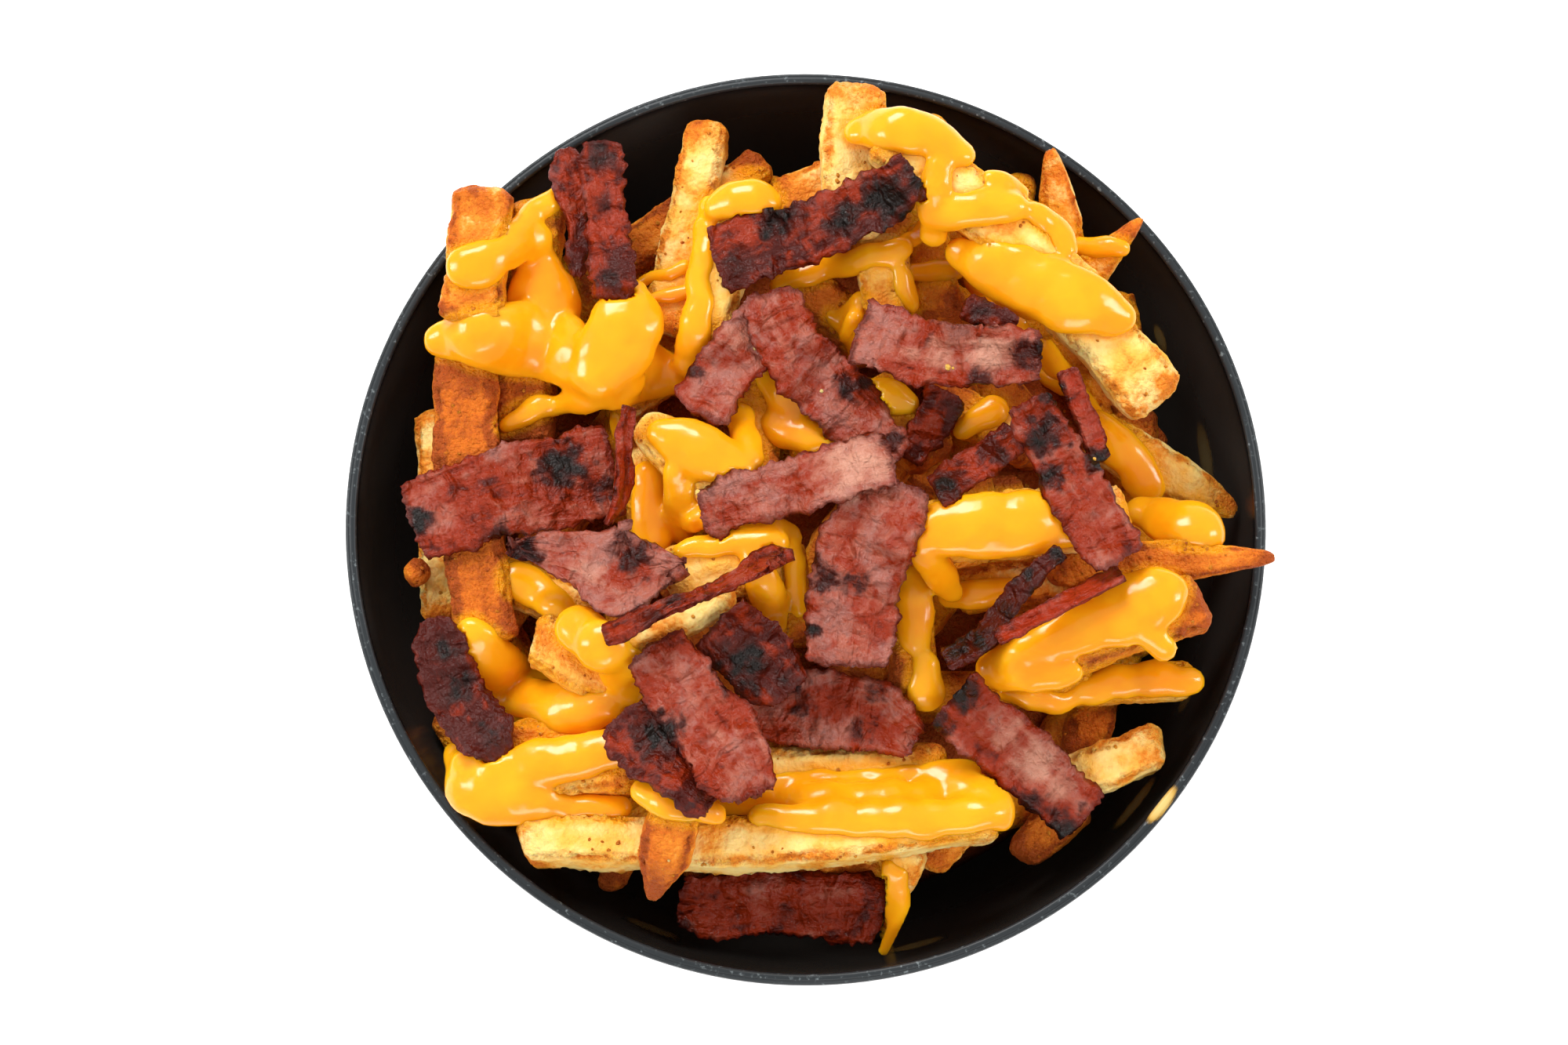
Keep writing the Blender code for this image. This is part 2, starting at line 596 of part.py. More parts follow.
def thin_out(obj):
    """Merge the slivers that fusing leaves: flat areas become one face, then the shortest edges go."""
    flat = obj.modifiers.new("flat_areas", "DECIMATE")
    flat.decimate_type = "DISSOLVE"
    flat.angle_limit = math.radians(FLAT_ANGLE)
    fewer = obj.modifiers.new("fewer", "DECIMATE")
    fewer.ratio = KEPT_SHARE
    apply_modifiers(obj)


def fuse_heap(core, pieces, room, material):
    """Join core, fries and sauce into one solid and trim it to the space that the bowl leaves."""
    group = bpy.data.collections.new("heap_pieces")
    bpy.context.scene.collection.children.link(group)
    for piece in pieces:
        group.objects.link(piece)
    union = core.modifiers.new("join", "BOOLEAN")
    union.operation = "UNION"
    union.operand_type = "COLLECTION"
    union.collection = group
    union.solver = "MANIFOLD"
    trim = core.modifiers.new("trim", "BOOLEAN")
    trim.operation = "INTERSECT"
    trim.object = room
    trim.solver = "MANIFOLD"
    apply_modifiers(core)
    for piece in [*pieces, room]:
        bpy.data.objects.remove(piece, do_unlink=True)
    bpy.data.collections.remove(group)
    keep_outer_body(core)
    sort_faces(core.data)
    thin_out(core)
    keep_outer_body(core)
    core.name = "fries_heap"
    core.data.materials.clear()
    core.data.materials.append(material)
    return core


def strip_grid(strip):
    """The seen points of a strip as rows along it and columns across it, with each column's rise."""
    places = along_line(strip.line, strip.widths, BACON_STEP)
    lean = math.radians(strip.lean)
    widest = max(strip.widths) / math.cos(lean)
    columns = max(2, round(widest / BACON_STEP))
    seen, rise = [], []
    for xy, heading, wide in places:
        side = Vector((heading.y, -heading.x, 0))
        shares = [c / columns - 0.5 for c in range(columns + 1)]
        seen.append([xy + side * wide * s for s in shares])
        rise.append([(s + 0.5) * wide * math.tan(lean) for s in shares])
    return seen, np.array(rise)


def neighbours_mean(z):
    """Each height's mean with its neighbours along and across the strip."""
    padded = np.pad(z, 1, mode="edge")
    return (padded[:-2, 1:-1] + padded[2:, 1:-1] + padded[1:-1, :-2] + padded[1:-1, 2:] + z) / 5


def drape(strip, ground, wide_map):
    """Lay a strip's grid on the map: it bridges hollows, sags a little and clears all it passes over."""
    seen, rise = strip_grid(strip)
    rows, columns = rise.shape
    lift = CLEARANCE + BACON_THICKNESS / 2
    z = np.full((rows, columns), RIM_HEIGHT + 10.0)
    reach = max(1, round(BRIDGE_REACH / BACON_STEP))
    for _ in range(3):
        spots = [[true_place(seen[i][j].x, seen[i][j].y, z[i, j]) for j in range(columns)] for i in range(rows)]
        low = np.array([[ground.read(wide_map, p.x, p.y) for p in row] for row in spots]) + lift - rise
        z = np.array([[low[max(i - reach, 0):i + reach + 1].max()] * columns for i in range(rows)])
        for _ in range(SAG_ROUNDS):
            z = np.maximum(low, neighbours_mean(z) - SAG_STEP)
        z = z + rise
    for _ in range(FIT_ROUNDS):
        raise_over_ground(z, seen, ground, wide_map, lift)
    return seen, z


def raise_over_ground(z, seen, ground, wide_map, lift):
    """Raise the corners of each cell whose inside would touch the ground."""
    rows, columns = z.shape
    shares = (0.0, 0.25, 0.5, 0.75, 1.0)
    for i in range(rows - 1):
        for j in range(columns - 1):
            corners = ((i, j), (i + 1, j), (i, j + 1), (i + 1, j + 1))
            spots = [true_place(*seen[a][b][:2], z[a, b]) for a, b in corners]
            for s in shares:
                for t in shares:
                    weights = ((1 - s) * (1 - t), s * (1 - t), (1 - s) * t, s * t)
                    spot = sum((p * w for p, w in zip(spots, weights)), Vector((0, 0, 0)))
                    short = ground.read(wide_map, spot.x, spot.y) + lift - spot.z
                    if short <= 0:
                        continue
                    for (a, b), w in zip(corners, weights):
                        z[a, b] += 0.6 * short * w


def make_strip(strip, ground, material):
    """A thin wavy solid of bacon, laid on the map, which it then raises for the next one."""
    if strip.under < MAP_TOP:
        ground = HeightMap([bpy.data.objects["fries_heap"]], strip.under)
    seen, z = drape(strip, ground, ground.widened())
    bm = bmesh.new()
    verts = [[bm.verts.new(true_place(*seen[i][j][:2], z[i, j])) for j in range(z.shape[1])]
             for i in range(z.shape[0])]
    for low, high in zip(verts, verts[1:]):
        for j in range(len(low) - 1):
            bm.faces.new((low[j], low[j + 1], high[j + 1], high[j]))
    bmesh.ops.triangulate(bm, faces=bm.faces)
    bmesh.ops.recalc_face_normals(bm, faces=bm.faces)
    if sum(f.normal.z for f in bm.faces) < 0:
        bmesh.ops.reverse_faces(bm, faces=bm.faces)
    obj = make_object(f"bacon_{strip.name}", bm, material)
    thick = obj.modifiers.new("thickness", "SOLIDIFY")
    thick.thickness = BACON_THICKNESS * MM
    thick.offset = 0.0
    apply_modifiers(obj)
    return obj


def lay_bacon(heap, material):
    """Lay every strip, each on the heap and on those before it."""
    ground = HeightMap([heap])
    for strip in STRIPS:
        obj = make_strip(strip, ground, material)
        bm = bmesh.new()
        bm.from_mesh(obj.data)
        bmesh.ops.scale(bm, vec=(1 / MM, 1 / MM, 1 / MM), verts=bm.verts)
        ground.stamp(bm)
        bm.free()


def main():
    clear_scene()
    black = finish_material("glossy_black", (0.012, 0.011, 0.011), 0.25)
    fried = finish_material("fried_potato", (0.80, 0.45, 0.10), 0.55)
    cured = finish_material("bacon", (0.22, 0.05, 0.04), 0.5)
    make_bowl(black)
    core = make_core()
    sticks = [make_stick(fry, *ends) for fry, ends in laid_fries()]
    ground = HeightMap([core, *sticks])
    pours = [make_pour(i, pour, ground) for i, pour in enumerate(POURS)]
    heap = fuse_heap(core, sticks + pours, make_room(), fried)
    lay_bacon(heap, cured)


main()
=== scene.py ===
"""Cheese fries in a round black bowl: thick coated fries, glossy cheese sauce and browned bacon.

Lengths are in millimetres until a piece is finished, which turns it into metres. The rows below say
where the camera sees a thing, measured in the plane of the bowl's rim. The fries and the hanging sauce
have their true heights in their rows, the bacon lies on its solids and the sauce on the fries.
"""
import math
import random
from typing import NamedTuple

import bmesh
import bpy
import numpy as np
from mathutils import Matrix, Vector, noise
from mathutils.bvhtree import BVHTree


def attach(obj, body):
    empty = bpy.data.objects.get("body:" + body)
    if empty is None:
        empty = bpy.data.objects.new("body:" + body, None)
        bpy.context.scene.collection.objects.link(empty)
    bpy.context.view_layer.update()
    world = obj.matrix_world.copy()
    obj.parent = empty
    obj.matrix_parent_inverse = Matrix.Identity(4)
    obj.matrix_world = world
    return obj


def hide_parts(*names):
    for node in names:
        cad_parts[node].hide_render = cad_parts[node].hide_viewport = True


MM = 0.001

# The camera: the middle and the radius of the rim's picture are in pixels of the photograph
PHOTO_WIDTH = 2000
PHOTO_MIDDLE = (1000.0, 666.5)
RIM_MIDDLE_PX = (1027.75, 675.8)
RIM_RADIUS_PX = 588.2
CAMERA_DISTANCE = 600.0
CAMERA_ELEVATION = math.radians(82.0)
SENSOR = 36.0

# The rim's near half looks larger, so the middle of its picture lies in front of its true middle
SEEN_ORIGIN_Y = -1.8

# The bowl
RIM_RADIUS = 85.0
RIM_HEIGHT = 68.0
RIM_BAND = 2.1
RIM_OUT_DROP = 1.3
RIM_IN_DROP = 1.2
FOOT_RADIUS = 40.0
FOOT_WIDTH = 3.5
FOOT_RECESS = 2.0
BODY_START = 3.0
INSIDE_FLOOR = 6.0
INSIDE_FLOOR_RADIUS = 36.0
BOWL_SEGMENTS = 192
WALL_STEPS = 28

# The heap's core and the hidden fries
CORE_PROFILE = ((0.0, 54.0), (30.0, 53.0), (52.0, 50.0), (62.0, 45.0), (67.0, 38.0), (69.0, 28.0))
CORE_SEGMENTS = 96
SPREAD_FILLERS = 18
SPREAD_RADIUS = 46.0
SPREAD_HEIGHT = 59.0
SPREAD_FALL = 4.0
RING_FILLERS = 12
RING_RADIUS = 60.0
RING_HEIGHT = 50.0
RING_TURN = 0.25
SPREAD_TURN = 0.7
FILLER_LIFT = 2.0
FILLER_LENGTH = (36.0, 50.0)
FILLER_WIDTH = (9.0, 11.0)
FILLER_FLATNESS = 0.9
FILLER_SLOPE = 0.12
FILLER_SEED = 11
FILLER_TONE = 0.6

# Fries: the size of a mesh cell, the rounding, the ends, and where the three pieces part
FRY_CELL = 0.6
HIDDEN_CELL = 1.7
FRY_ROUND = 2.7
BLUNT_TIP = 0.7
TAPER_SHARE = 0.4
END_ROUND = 2.2
END_SHRINK = 0.76
END_CUT = 2.6
CUT_REACH = 5.0
SHORTEST_CUT = 12.0
ROLL_SPREAD = 7.0
WALL_GAP = 0.3
LEFT_GROUP_END = -26.0
RIGHT_GROUP_START = 18.0

# The coating: height and length of its waves, of its crumbs and of the chips in its edges
COATING_WAVES = ((0.6, 13.0), (0.34, 4.2))
COATING_SINK = 0.25
CRUMB_ON_FACE = 0.3
CRUMB_ON_EDGE = 0.95
CRUMB_LENGTH = 1.2
CHIP_DEPTH = 1.2
CHIP_LENGTH = 5.0
BROWNED_REACH = 9.0
TONE_SPREAD = 0.22
TONE_LENGTH = 9.0

# A fry's own unevenness: a share of its section and a sideways bend, each with its length
UNEVEN_SHARE = 0.13
UNEVEN_LENGTH = 9.0
WANDER = 0.5
WANDER_LENGTH = 22.0

# Bacon: its thickness, the reach of its edge and corners, and how much it bends
BACON_CELL = 0.48
BACON_THICKNESS = 1.25
BACON_SOFTENED = 6
FULL_WIDTH = 9.0
EDGE_REACH = 3.0
RIM_REACH = 2.6
CORNER_CUT = 0.8
CORNER_SPREAD = (0.4, 1.1)
CORNER_REACH = 3.0
BUCKLE = 1.35
CURL = 1.5
DROOP = 0.7

# A burnt or pale spot: its strength in the middle, and how fast that fades
SPOT_CORE = 1.25
SPOT_FADE = 0.8

# How far a long edge of bacon wanders, over what length, and the row of noise that it follows
RAGGED = ((0.6, 3.0, 9), (0.6, 0.9, 5), (1.2, 8.0, 3), (0.6, 1.7, 7))

# Sauce: the balls of a stroke, the skin round them, and how high it may stand
SAUCE_STEP = 0.9
SAUCE_SPREAD = 0.4
SAUCE_FLAT = 0.4
SAUCE_THINNEST = 0.7
SAUCE_THICKEST = 3.3
SAUCE_LIFT = 0.15
SAUCE_SWAY = 0.8
SAUCE_WAVE = 4.0
SAUCE_VOXEL = 0.58
SAUCE_SOFTENED = 12
SAUCE_TOP = 91.2
SAUCE_TOP_EASE = 1.6
UNDER_BACON = 0.3

# Where the ground below a stroke is read, as shares of its half width, and how steeply sauce lies on it
SAUCE_SIDES = (-0.7, -0.35, 0.0, 0.35, 0.7)
SAUCE_FALL = 1.1
SAUCE_TILT = 0.7
SAUCE_RISE = 1.5

# How many times the ground below a stroke, and a line's corners, are softened
SAUCE_SLACK = 8
LINE_SOFTENED = 30

# Sauce soaked into the coating: its reach beside a stroke, and the map of it
SOAKED_REACH = 2.6
SOAKED_CELL = 0.5
SOAKED_HALF = 100.0

# Films of sauce and of painted reflection on the bowl: the cells of each, and its gap to the bowl
SMEAR_CELLS = (32, 20)
SMEAR_GAP = 0.06

# The step between two balls of a hanging drop, as a share of their radius
DROP_STEP = 0.4

# Loose crumbs: smallest and largest radius and tone on the bacon, the same on the fries, and their places
BACON_CRUMB_SIZES = (0.3, 0.7)
BACON_CRUMB_TONE = 0.1
FRY_CRUMB_SIZES = (0.15, 0.45)
FRY_CRUMB_TONE = 0.35
CRUMB_SEED = 3
CRUMB_COUNT = 1000
CRUMB_PLACES_REACH = 78.0

# A crumb's lumps: their share of its radius, their length, and where each axis reads the noise
LUMP_SHARE = 0.25
LUMP_LENGTH = 1 / 3
LUMP_SHIFTS = (Vector((0, 0, 0)), Vector((0, 0, 20)), Vector((0, 0, 40)))


class Fry(NamedTuple):
    """A potato stick: its ends (seen x, seen y, true height), its section, its browning and its form."""
    name: str
    start: tuple
    end: tuple
    wide: float
    high: float
    tone: float
    bow: float = 0.0
    tip_start: float = 1.0
    tip_end: float = 1.0
    roll: float = 0.0


class Strip(NamedTuple):
    """A piece of bacon: the line along its middle (seen x, seen y, width), its lean, and its colour."""
    name: str
    line: tuple
    pink: float
    lean: float = 0.0
    red: float = 0.0


# The fries that show
FRIES = (
    Fry("left_low", (-68, 24, 57.6), (-66, -18, 55.6), 9, 9, 0.25),
    Fry("shelf_back", (-36, 50, 56.4), (-19, 61, 57.4), 9, 9, 0.55),
    Fry("behind_post", (-7, 70, 61.8), (-22, 60, 61.8), 8, 8, 0.35),
    Fry("small_back_tip", (41, 68, 60.2), (33, 46, 55.2), 8, 8, 0.7, tip_start=0.8),
    Fry("charred_end", (56, 46, 56.2), (60, 29, 56.2), 10.5, 9, 0.9),
    Fry("deep_upright", (54, -28, 55.5), (50, -45, 53.5), 8.5, 8, 0.75),
    Fry("corner_block", (38, -61, 54.6), (50, -49, 56.6), 10, 9, 0.65, tip_start=0.7),
    Fry("front_stub", (-36, -67, 53.7), (-32, -55, 55.7), 7.5, 8, 0.6, tip_start=0.8),
    Fry("front_deep", (20, -63, 58.1), (32, -52, 60.1), 7, 7, 0.3),
    Fry("left_edge_bit", (-67, -33, 47.2), (-54, -51, 45.2), 8.5, 8, 0.25, tip_start=0.8),
    Fry("left_gap_bar", (-62, -7, 61.1), (-38, -16, 63.1), 9, 9, 0.25),
    Fry("front_low_left", (-20, -40, 64.0), (-40, -52, 62.0), 9, 9, 0.3),
    Fry("coated_low", (-31, 16, 64.2), (-27, -5, 63.2), 9, 9, 0.15),
    Fry("shaded_post", (-11, 31, 64.8), (-9, 8, 63.8), 9, 9, 0.6),
    Fry("low_right_bar", (26, -12, 66.0), (52, -8, 66.0), 9, 9, 0.4),
    Fry("mid_right_low", (24, 25, 63.8), (44, 14, 65.8), 9, 9, 0.5),
    Fry("shaded_end", (22, 58, 63.8), (25, 38, 65.8), 9.5, 9, 0.6),
    Fry("right_low", (72, -28, 64.3), (42, -29, 62.3), 8, 8, 0.2, tip_start=0.9),
    Fry("back_ledge", (-8, 61, 59.2), (16, 69, 61.2), 9, 9, 0.4),
    Fry("brown_slope", (-4, 49, 63.0), (12, 35, 63.0), 10, 9, 0.75),
    Fry("mid_high_low", (10, 27, 66.3), (25, 12, 66.3), 10, 9, 0.55),
    Fry("middle_stub", (-3, 32, 64.3), (4, 10, 65.3), 10, 9, 0.75),
    Fry("short_upright", (14, 56, 70.0), (15, 38, 70.0), 9.5, 9, 0.12),
    Fry("left_rail", (-63, 37, 67.1), (-58, -23, 66.1), 12, 11, 0.8, bow=1.5),
    Fry("second_post", (-50, 64, 67.9), (-52, 15, 59.9), 11, 11, 0.85),
    Fry("pale_post", (-18, 78, 66.0), (-25, 35, 64.0), 11, 10, 0.22, tip_start=0.75),
    Fry("knob", (-23, 31, 63.0), (-37, 23, 62.0), 9, 9, 0.25, tip_start=0.9),
    Fry("left_band", (-58, -41, 65.0), (-32, -36, 66.0), 9, 9, 0.62),
    Fry("left_slope", (-51, -19, 70.5), (-27, -33, 69.5), 12, 10, 0.12, tip_start=0.9),
    Fry("middle_post", (-7, -2, 68.8), (-3, -21, 66.8), 12, 9, 0.6),
    Fry("pale_bar", (-27, -10, 72.1), (-4, -5, 73.1), 12, 10, 0.05),
    Fry("right_wedge", (52, 19, 58.7), (79, 3, 55.7), 10, 9, 0.2, tip_end=0.35),
    Fry("overhang", (43, -7, 70.4), (86.5, -5, 74.4), 8, 7, 0.62, tip_end=0.3),
    Fry("horn", (46, 72, 75.0), (50, 40, 60.0), 8.5, 8, 0.4, tip_start=0.3),
    Fry("thorn", (63, 59, 76.8), (42, 37, 61.8), 7.5, 7, 0.5, tip_start=0.2),
    Fry("top_post_under", (28, 76, 70.0), (8, 64, 66.0), 9, 9, 0.4),
    Fry("finger", (66, -39, 62.0), (43, -47, 62.0), 9.5, 9, 0.12, bow=-1, tip_start=0.9),
    Fry("right_sliver", (33, -32, 69.6), (53, -25, 66.6), 7, 7, 0.75, tip_start=0.8),
    Fry("right_block", (74, -13, 76.1), (36, -25, 76.1), 11, 11, 0.6),
    Fry("left_coated", (-62, -47, 69.1), (-30, -43, 71.1), 10, 10, 0.3),
    Fry("inner_rail", (-12, -45, 64.4), (26, -43, 64.4), 9, 9, 0.18),
    Fry("front_drip_end", (17, -67, 63.0), (18, -50, 65.0), 9, 9, 0.1, tip_start=0.5),
    Fry("thin_bar", (-42, -23, 79.5), (-12, -11, 77.5), 7.5, 7, 0.2, bow=1, tip_start=0.6),
    Fry("bumpy_post", (18, -5, 68.7), (20, -31, 67.7), 9.5, 9, 0.65, tip_start=0.9),
    Fry("coated_spear", (-31, 20, 73.5), (-8, 4, 71.5), 13, 11, 0.05, tip_start=0.45),
    Fry("spear_end", (-31, 45, 72.6), (-41, 24, 68.6), 10, 10, 0.1, tip_start=0.4),
    Fry("coated_post", (-10, 66, 75.0), (-19, 34, 70.0), 10, 10, 0.15, tip_start=0.8),
    Fry("left_post", (-60, 65, 76.0), (-62, 37, 74.0), 12, 11, 0.45),
    Fry("long_bar", (16, -1, 79.0), (60, 3, 77.0), 11, 10, 0.15, roll=14),
    Fry("front_rail", (-53, -57, 69.7), (35, -54, 71.7), 10, 11, 0.16, bow=2, tip_start=0.95,
        tip_end=0.6, roll=14),
    Fry("top_post", (9.5, 85, 76.4), (8.5, 54, 74.4), 12, 11, 0.12),
    Fry("big_diagonal", (13, 76, 84.1), (66, 23, 76.1), 14, 12, 0.12, bow=-3, tip_start=0.8, tip_end=0.9),
    Fry("front_tooth", (-28, -68, 73.0), (-23, -48, 81.0), 9.5, 9, 0.6, tip_start=0.22),
    Fry("round_end", (-71.5, -5.2, 63.0), (-71.5, -10.8, 63.0), 5.6, 5.6, 0.5),
)

# The bacon that shows
STRIPS = (
    Strip("under_front", ((-22.5, -68, 10), (-15.5, -69, 12.5), (-7, -68, 12.5), (1.5, -69, 12.5),
          (9, -69, 14.5), (13.5, -70, 13.5)), 0.2),
    Strip("left_wall", ((-68, -16.5, 6.5), (-67.5, -19, 8), (-67, -22.5, 10), (-65.5, -28, 10.5),
          (-62, -33.5, 11.5), (-58, -38, 11.5), (-55.5, -41.5, 7)), -0.6),
    Strip("top_left_edge", ((-45, 72, 4.5), (-44.5, 68.5, 6.5), (-43.5, 62.5, 6.5), (-42.5, 58, 4.5),
          (-42.5, 54, 4), (-42.5, 48, 3.5)), -0.1),
    Strip("top_left", ((-38, 73.5, 8), (-38, 67.5, 8.5), (-37, 60, 8), (-36.5, 52.5, 8),
          (-36, 46.5, 8.5), (-36, 43.5, 8)), 0),
    Strip("dark_slip", ((26, 26, 9), (19, 13, 7)), -0.2),
    Strip("red_tongue", ((48.5, 30, 4.5), (54.5, 13, 4.5)), 0.5, lean=35.0, red=0.8),
    Strip("dark_edge", ((24, 7, 7), (39, 17.5, 7)), -0.2, lean=25.0),
    Strip("high_dark", ((30, 42, 6), (39, 38, 5)), -0.4),
    Strip("dark_ridge", ((25.5, -24, 5), (33, -20, 5), (40, -10, 5), (47, -4, 4)), -0.6, lean=45.0),
    Strip("red_ridge", ((35, -20, 3.5), (58, -8, 3.5)), 0.3, lean=60.0, red=0.8),
    Strip("left_big", ((-72.5, 1, 15.5), (-57, 7, 17), (-35.5, 11, 19)), 0.45),
    Strip("left_fold", ((-32.5, 23, 2.5), (-34, 17.5, 3), (-33, 11, 3), (-34, 6, 3),
          (-36.5, 1, 1.5)), 0.3, lean=65.0, red=0.6),
    Strip("leaf", ((-54.5, -3, 1.5), (-47.5, -4, 8), (-41, -5, 12), (-34.5, -8, 18), (-28.5, -7, 11.5),
          (-22.5, -6.5, 2.5)), 1.1),
    Strip("long_sliver", ((-37, -19.5, 4.5), (-33, -18, 4.5), (-25.5, -14, 3), (-17.5, -11.5, 3),
          (-11, -7.5, 4), (-6, -4.5, 4), (-2.5, -4, 1.5)), 0.0, lean=60.0, red=0.4),
    Strip("left_peak", ((-19.5, 22, 12), (-16.5, 27.5, 12), (-12.5, 33, 12), (-8, 38, 12),
          (-5, 41, 12)), 0.95),
    Strip("right_peak", ((-6.5, 44.5, 11.5), (-5.5, 40, 12.5), (-3.5, 35, 12.5), (1, 30, 13.5),
          (7.5, 23, 12), (13, 16.5, 11.5), (16.5, 13, 9.5)), 0.8),
    Strip("upper_right", ((10, 37.5, 14.5), (15, 35.5, 13.5), (20.5, 34, 13), (26.5, 32.5, 11.5),
          (33, 32.5, 12.5), (39.5, 32.5, 12.5), (43.5, 32.5, 10)), 0.8),
    Strip("top_dark", ((-16.5, 50.5, 14), (-7.5, 54, 13.5), (0.5, 56, 13), (10.5, 61, 12),
          (20.5, 67, 11)), -0.25),
    Strip("right_slope", ((41, 24, 9), (49, 9, 12), (58, -5.5, 11)), 0.35),
    Strip("front_middle", ((-12, -34, 9), (2, -33, 15), (12, -34, 14), (20, -39, 8)), 0.6),
    Strip("dark_middle", ((-16, -17, 13), (-8, -25, 14), (-3, -30, 10)), -0.25),
    Strip("under_dark", ((-33.5, -34, 11), (-27, -42, 12), (-17, -50, 8)), -0.1),
    Strip("front_pink", ((-28, -21.5, 13), (-24.5, -26.5, 14), (-21, -32, 14.5), (-16, -38.5, 15.5),
          (-12, -44.5, 15), (-10.5, -49, 11)), 0.7),
    Strip("centre_down", ((17, 9, 14), (11, -3, 18), (8.5, -14, 17), (7.5, -25, 16)), 1),
    Strip("centre_bar", ((-19, 3, 10), (-5, 7.5, 11), (8, 11.5, 12), (16, 13, 10)), 1.05),
    Strip("front_right", ((27, -31, 13), (38, -41, 13), (50.5, -53, 12)), 0.4),
)

# Burnt and pale places on the bacon: seen x, seen y, radius, strength
BURNT = (
    (-5, 59, 4, 1.0), (7, 58, 4, 0.9), (15, 62, 5, 1.0), (-13, 50, 3, 0.7), (21, 66, 3, 1.0),
    (-45, 12, 4.5, 1.0), (-71.5, 2, 2.5, 1.0), (-57, -1, 3, 0.6), (-38, 8, 3, 0.6), (-32, -5, 4, 0.8),
    (-52, -4, 3, 0.9), (-24, -12, 3, 0.7), (-28, -16, 2.5, 0.8), (4, -9.5, 2.5, 0.7),
    (9, -9.5, 2.5, 0.6), (1, -5, 2.4, 0.8), (1.5, -18.5, 1.5, 1.0), (44, 18, 4, 0.9),
    (45, 10, 2.5, 1.0), (54, 13, 2.5, 1.0), (46, 25, 3, 0.8), (24, -35, 3, 0.8), (41, -52, 3.5, 0.9),
    (46, -55, 4, 0.9), (28, -30, 3.5, 1.0), (-27, -38, 4.5, 1.0), (-11, -25, 5, 1.0), (-4, -28, 3, 0.8),
    (-66, -22, 3, 0.9), (-64, -29, 3.5, 1.0), (-58, -38, 3.5, 0.8), (-38, 71, 3, 0.9),
    (-36, 48, 3, 0.8), (-37.5, 62, 2, 0.5), (-43, 50, 2, 0.7), (8, 27, 2.5, 0.8), (11, 28, 1.8, 0.9),
    (28, 22, 3, 0.7), (26, 8, 3, 0.9), (36, 14, 2, 0.8), (28, -22, 3, 1.0), (36, -15, 3, 0.9),
    (46, -5, 2.5, 0.9), (-21, 30, 2, 0.7), (-18, 9, 2, 0.7), (16, 17, 2.5, 0.7), (32, 28, 3, 0.6),
    (42, 33, 3, 0.8), (10, -37, 2.5, 0.6), (32, -20, 3, 1.0), (41, -9, 3, 0.9), (25, -25, 2, 0.8),
    (0, -32, 3, 0.5), (13, -30, 2, 0.5), (-22, -72, 2, 0.5), (-4, -70, 2, 0.5), (33, 41, 2.5, 0.8),
)
PALE = (
    (9, 11.5, 7, 1.0), (13, 11.5, 4.5, 0.9), (20, 33, 3, 0.7), (25, 33, 4.5, 0.8), (34, 33, 5, 1.0),
    (-4, 11, 3, 0.4), (-13, 36, 4, 0.7), (-4, 39, 3, 0.5), (-40, -8, 5, 0.7), (-34, -13, 4, 0.5),
    (37, -38, 4.5, 0.8), (42, -43, 5, 1.0), (46, -47, 4, 0.8), (-17, -38, 4, 0.5), (-14, -44, 3, 0.5),
    (11, -20, 4, 0.5), (12, 1, 4, 0.4), (-60, 8, 5, 0.4), (-50, 12, 3.5, 0.4), (52, 5, 3.5, 0.4),
    (-9, 38, 3, 0.6), (-22, -34, 3, 0.5), (1, 27, 3, 0.4),
)

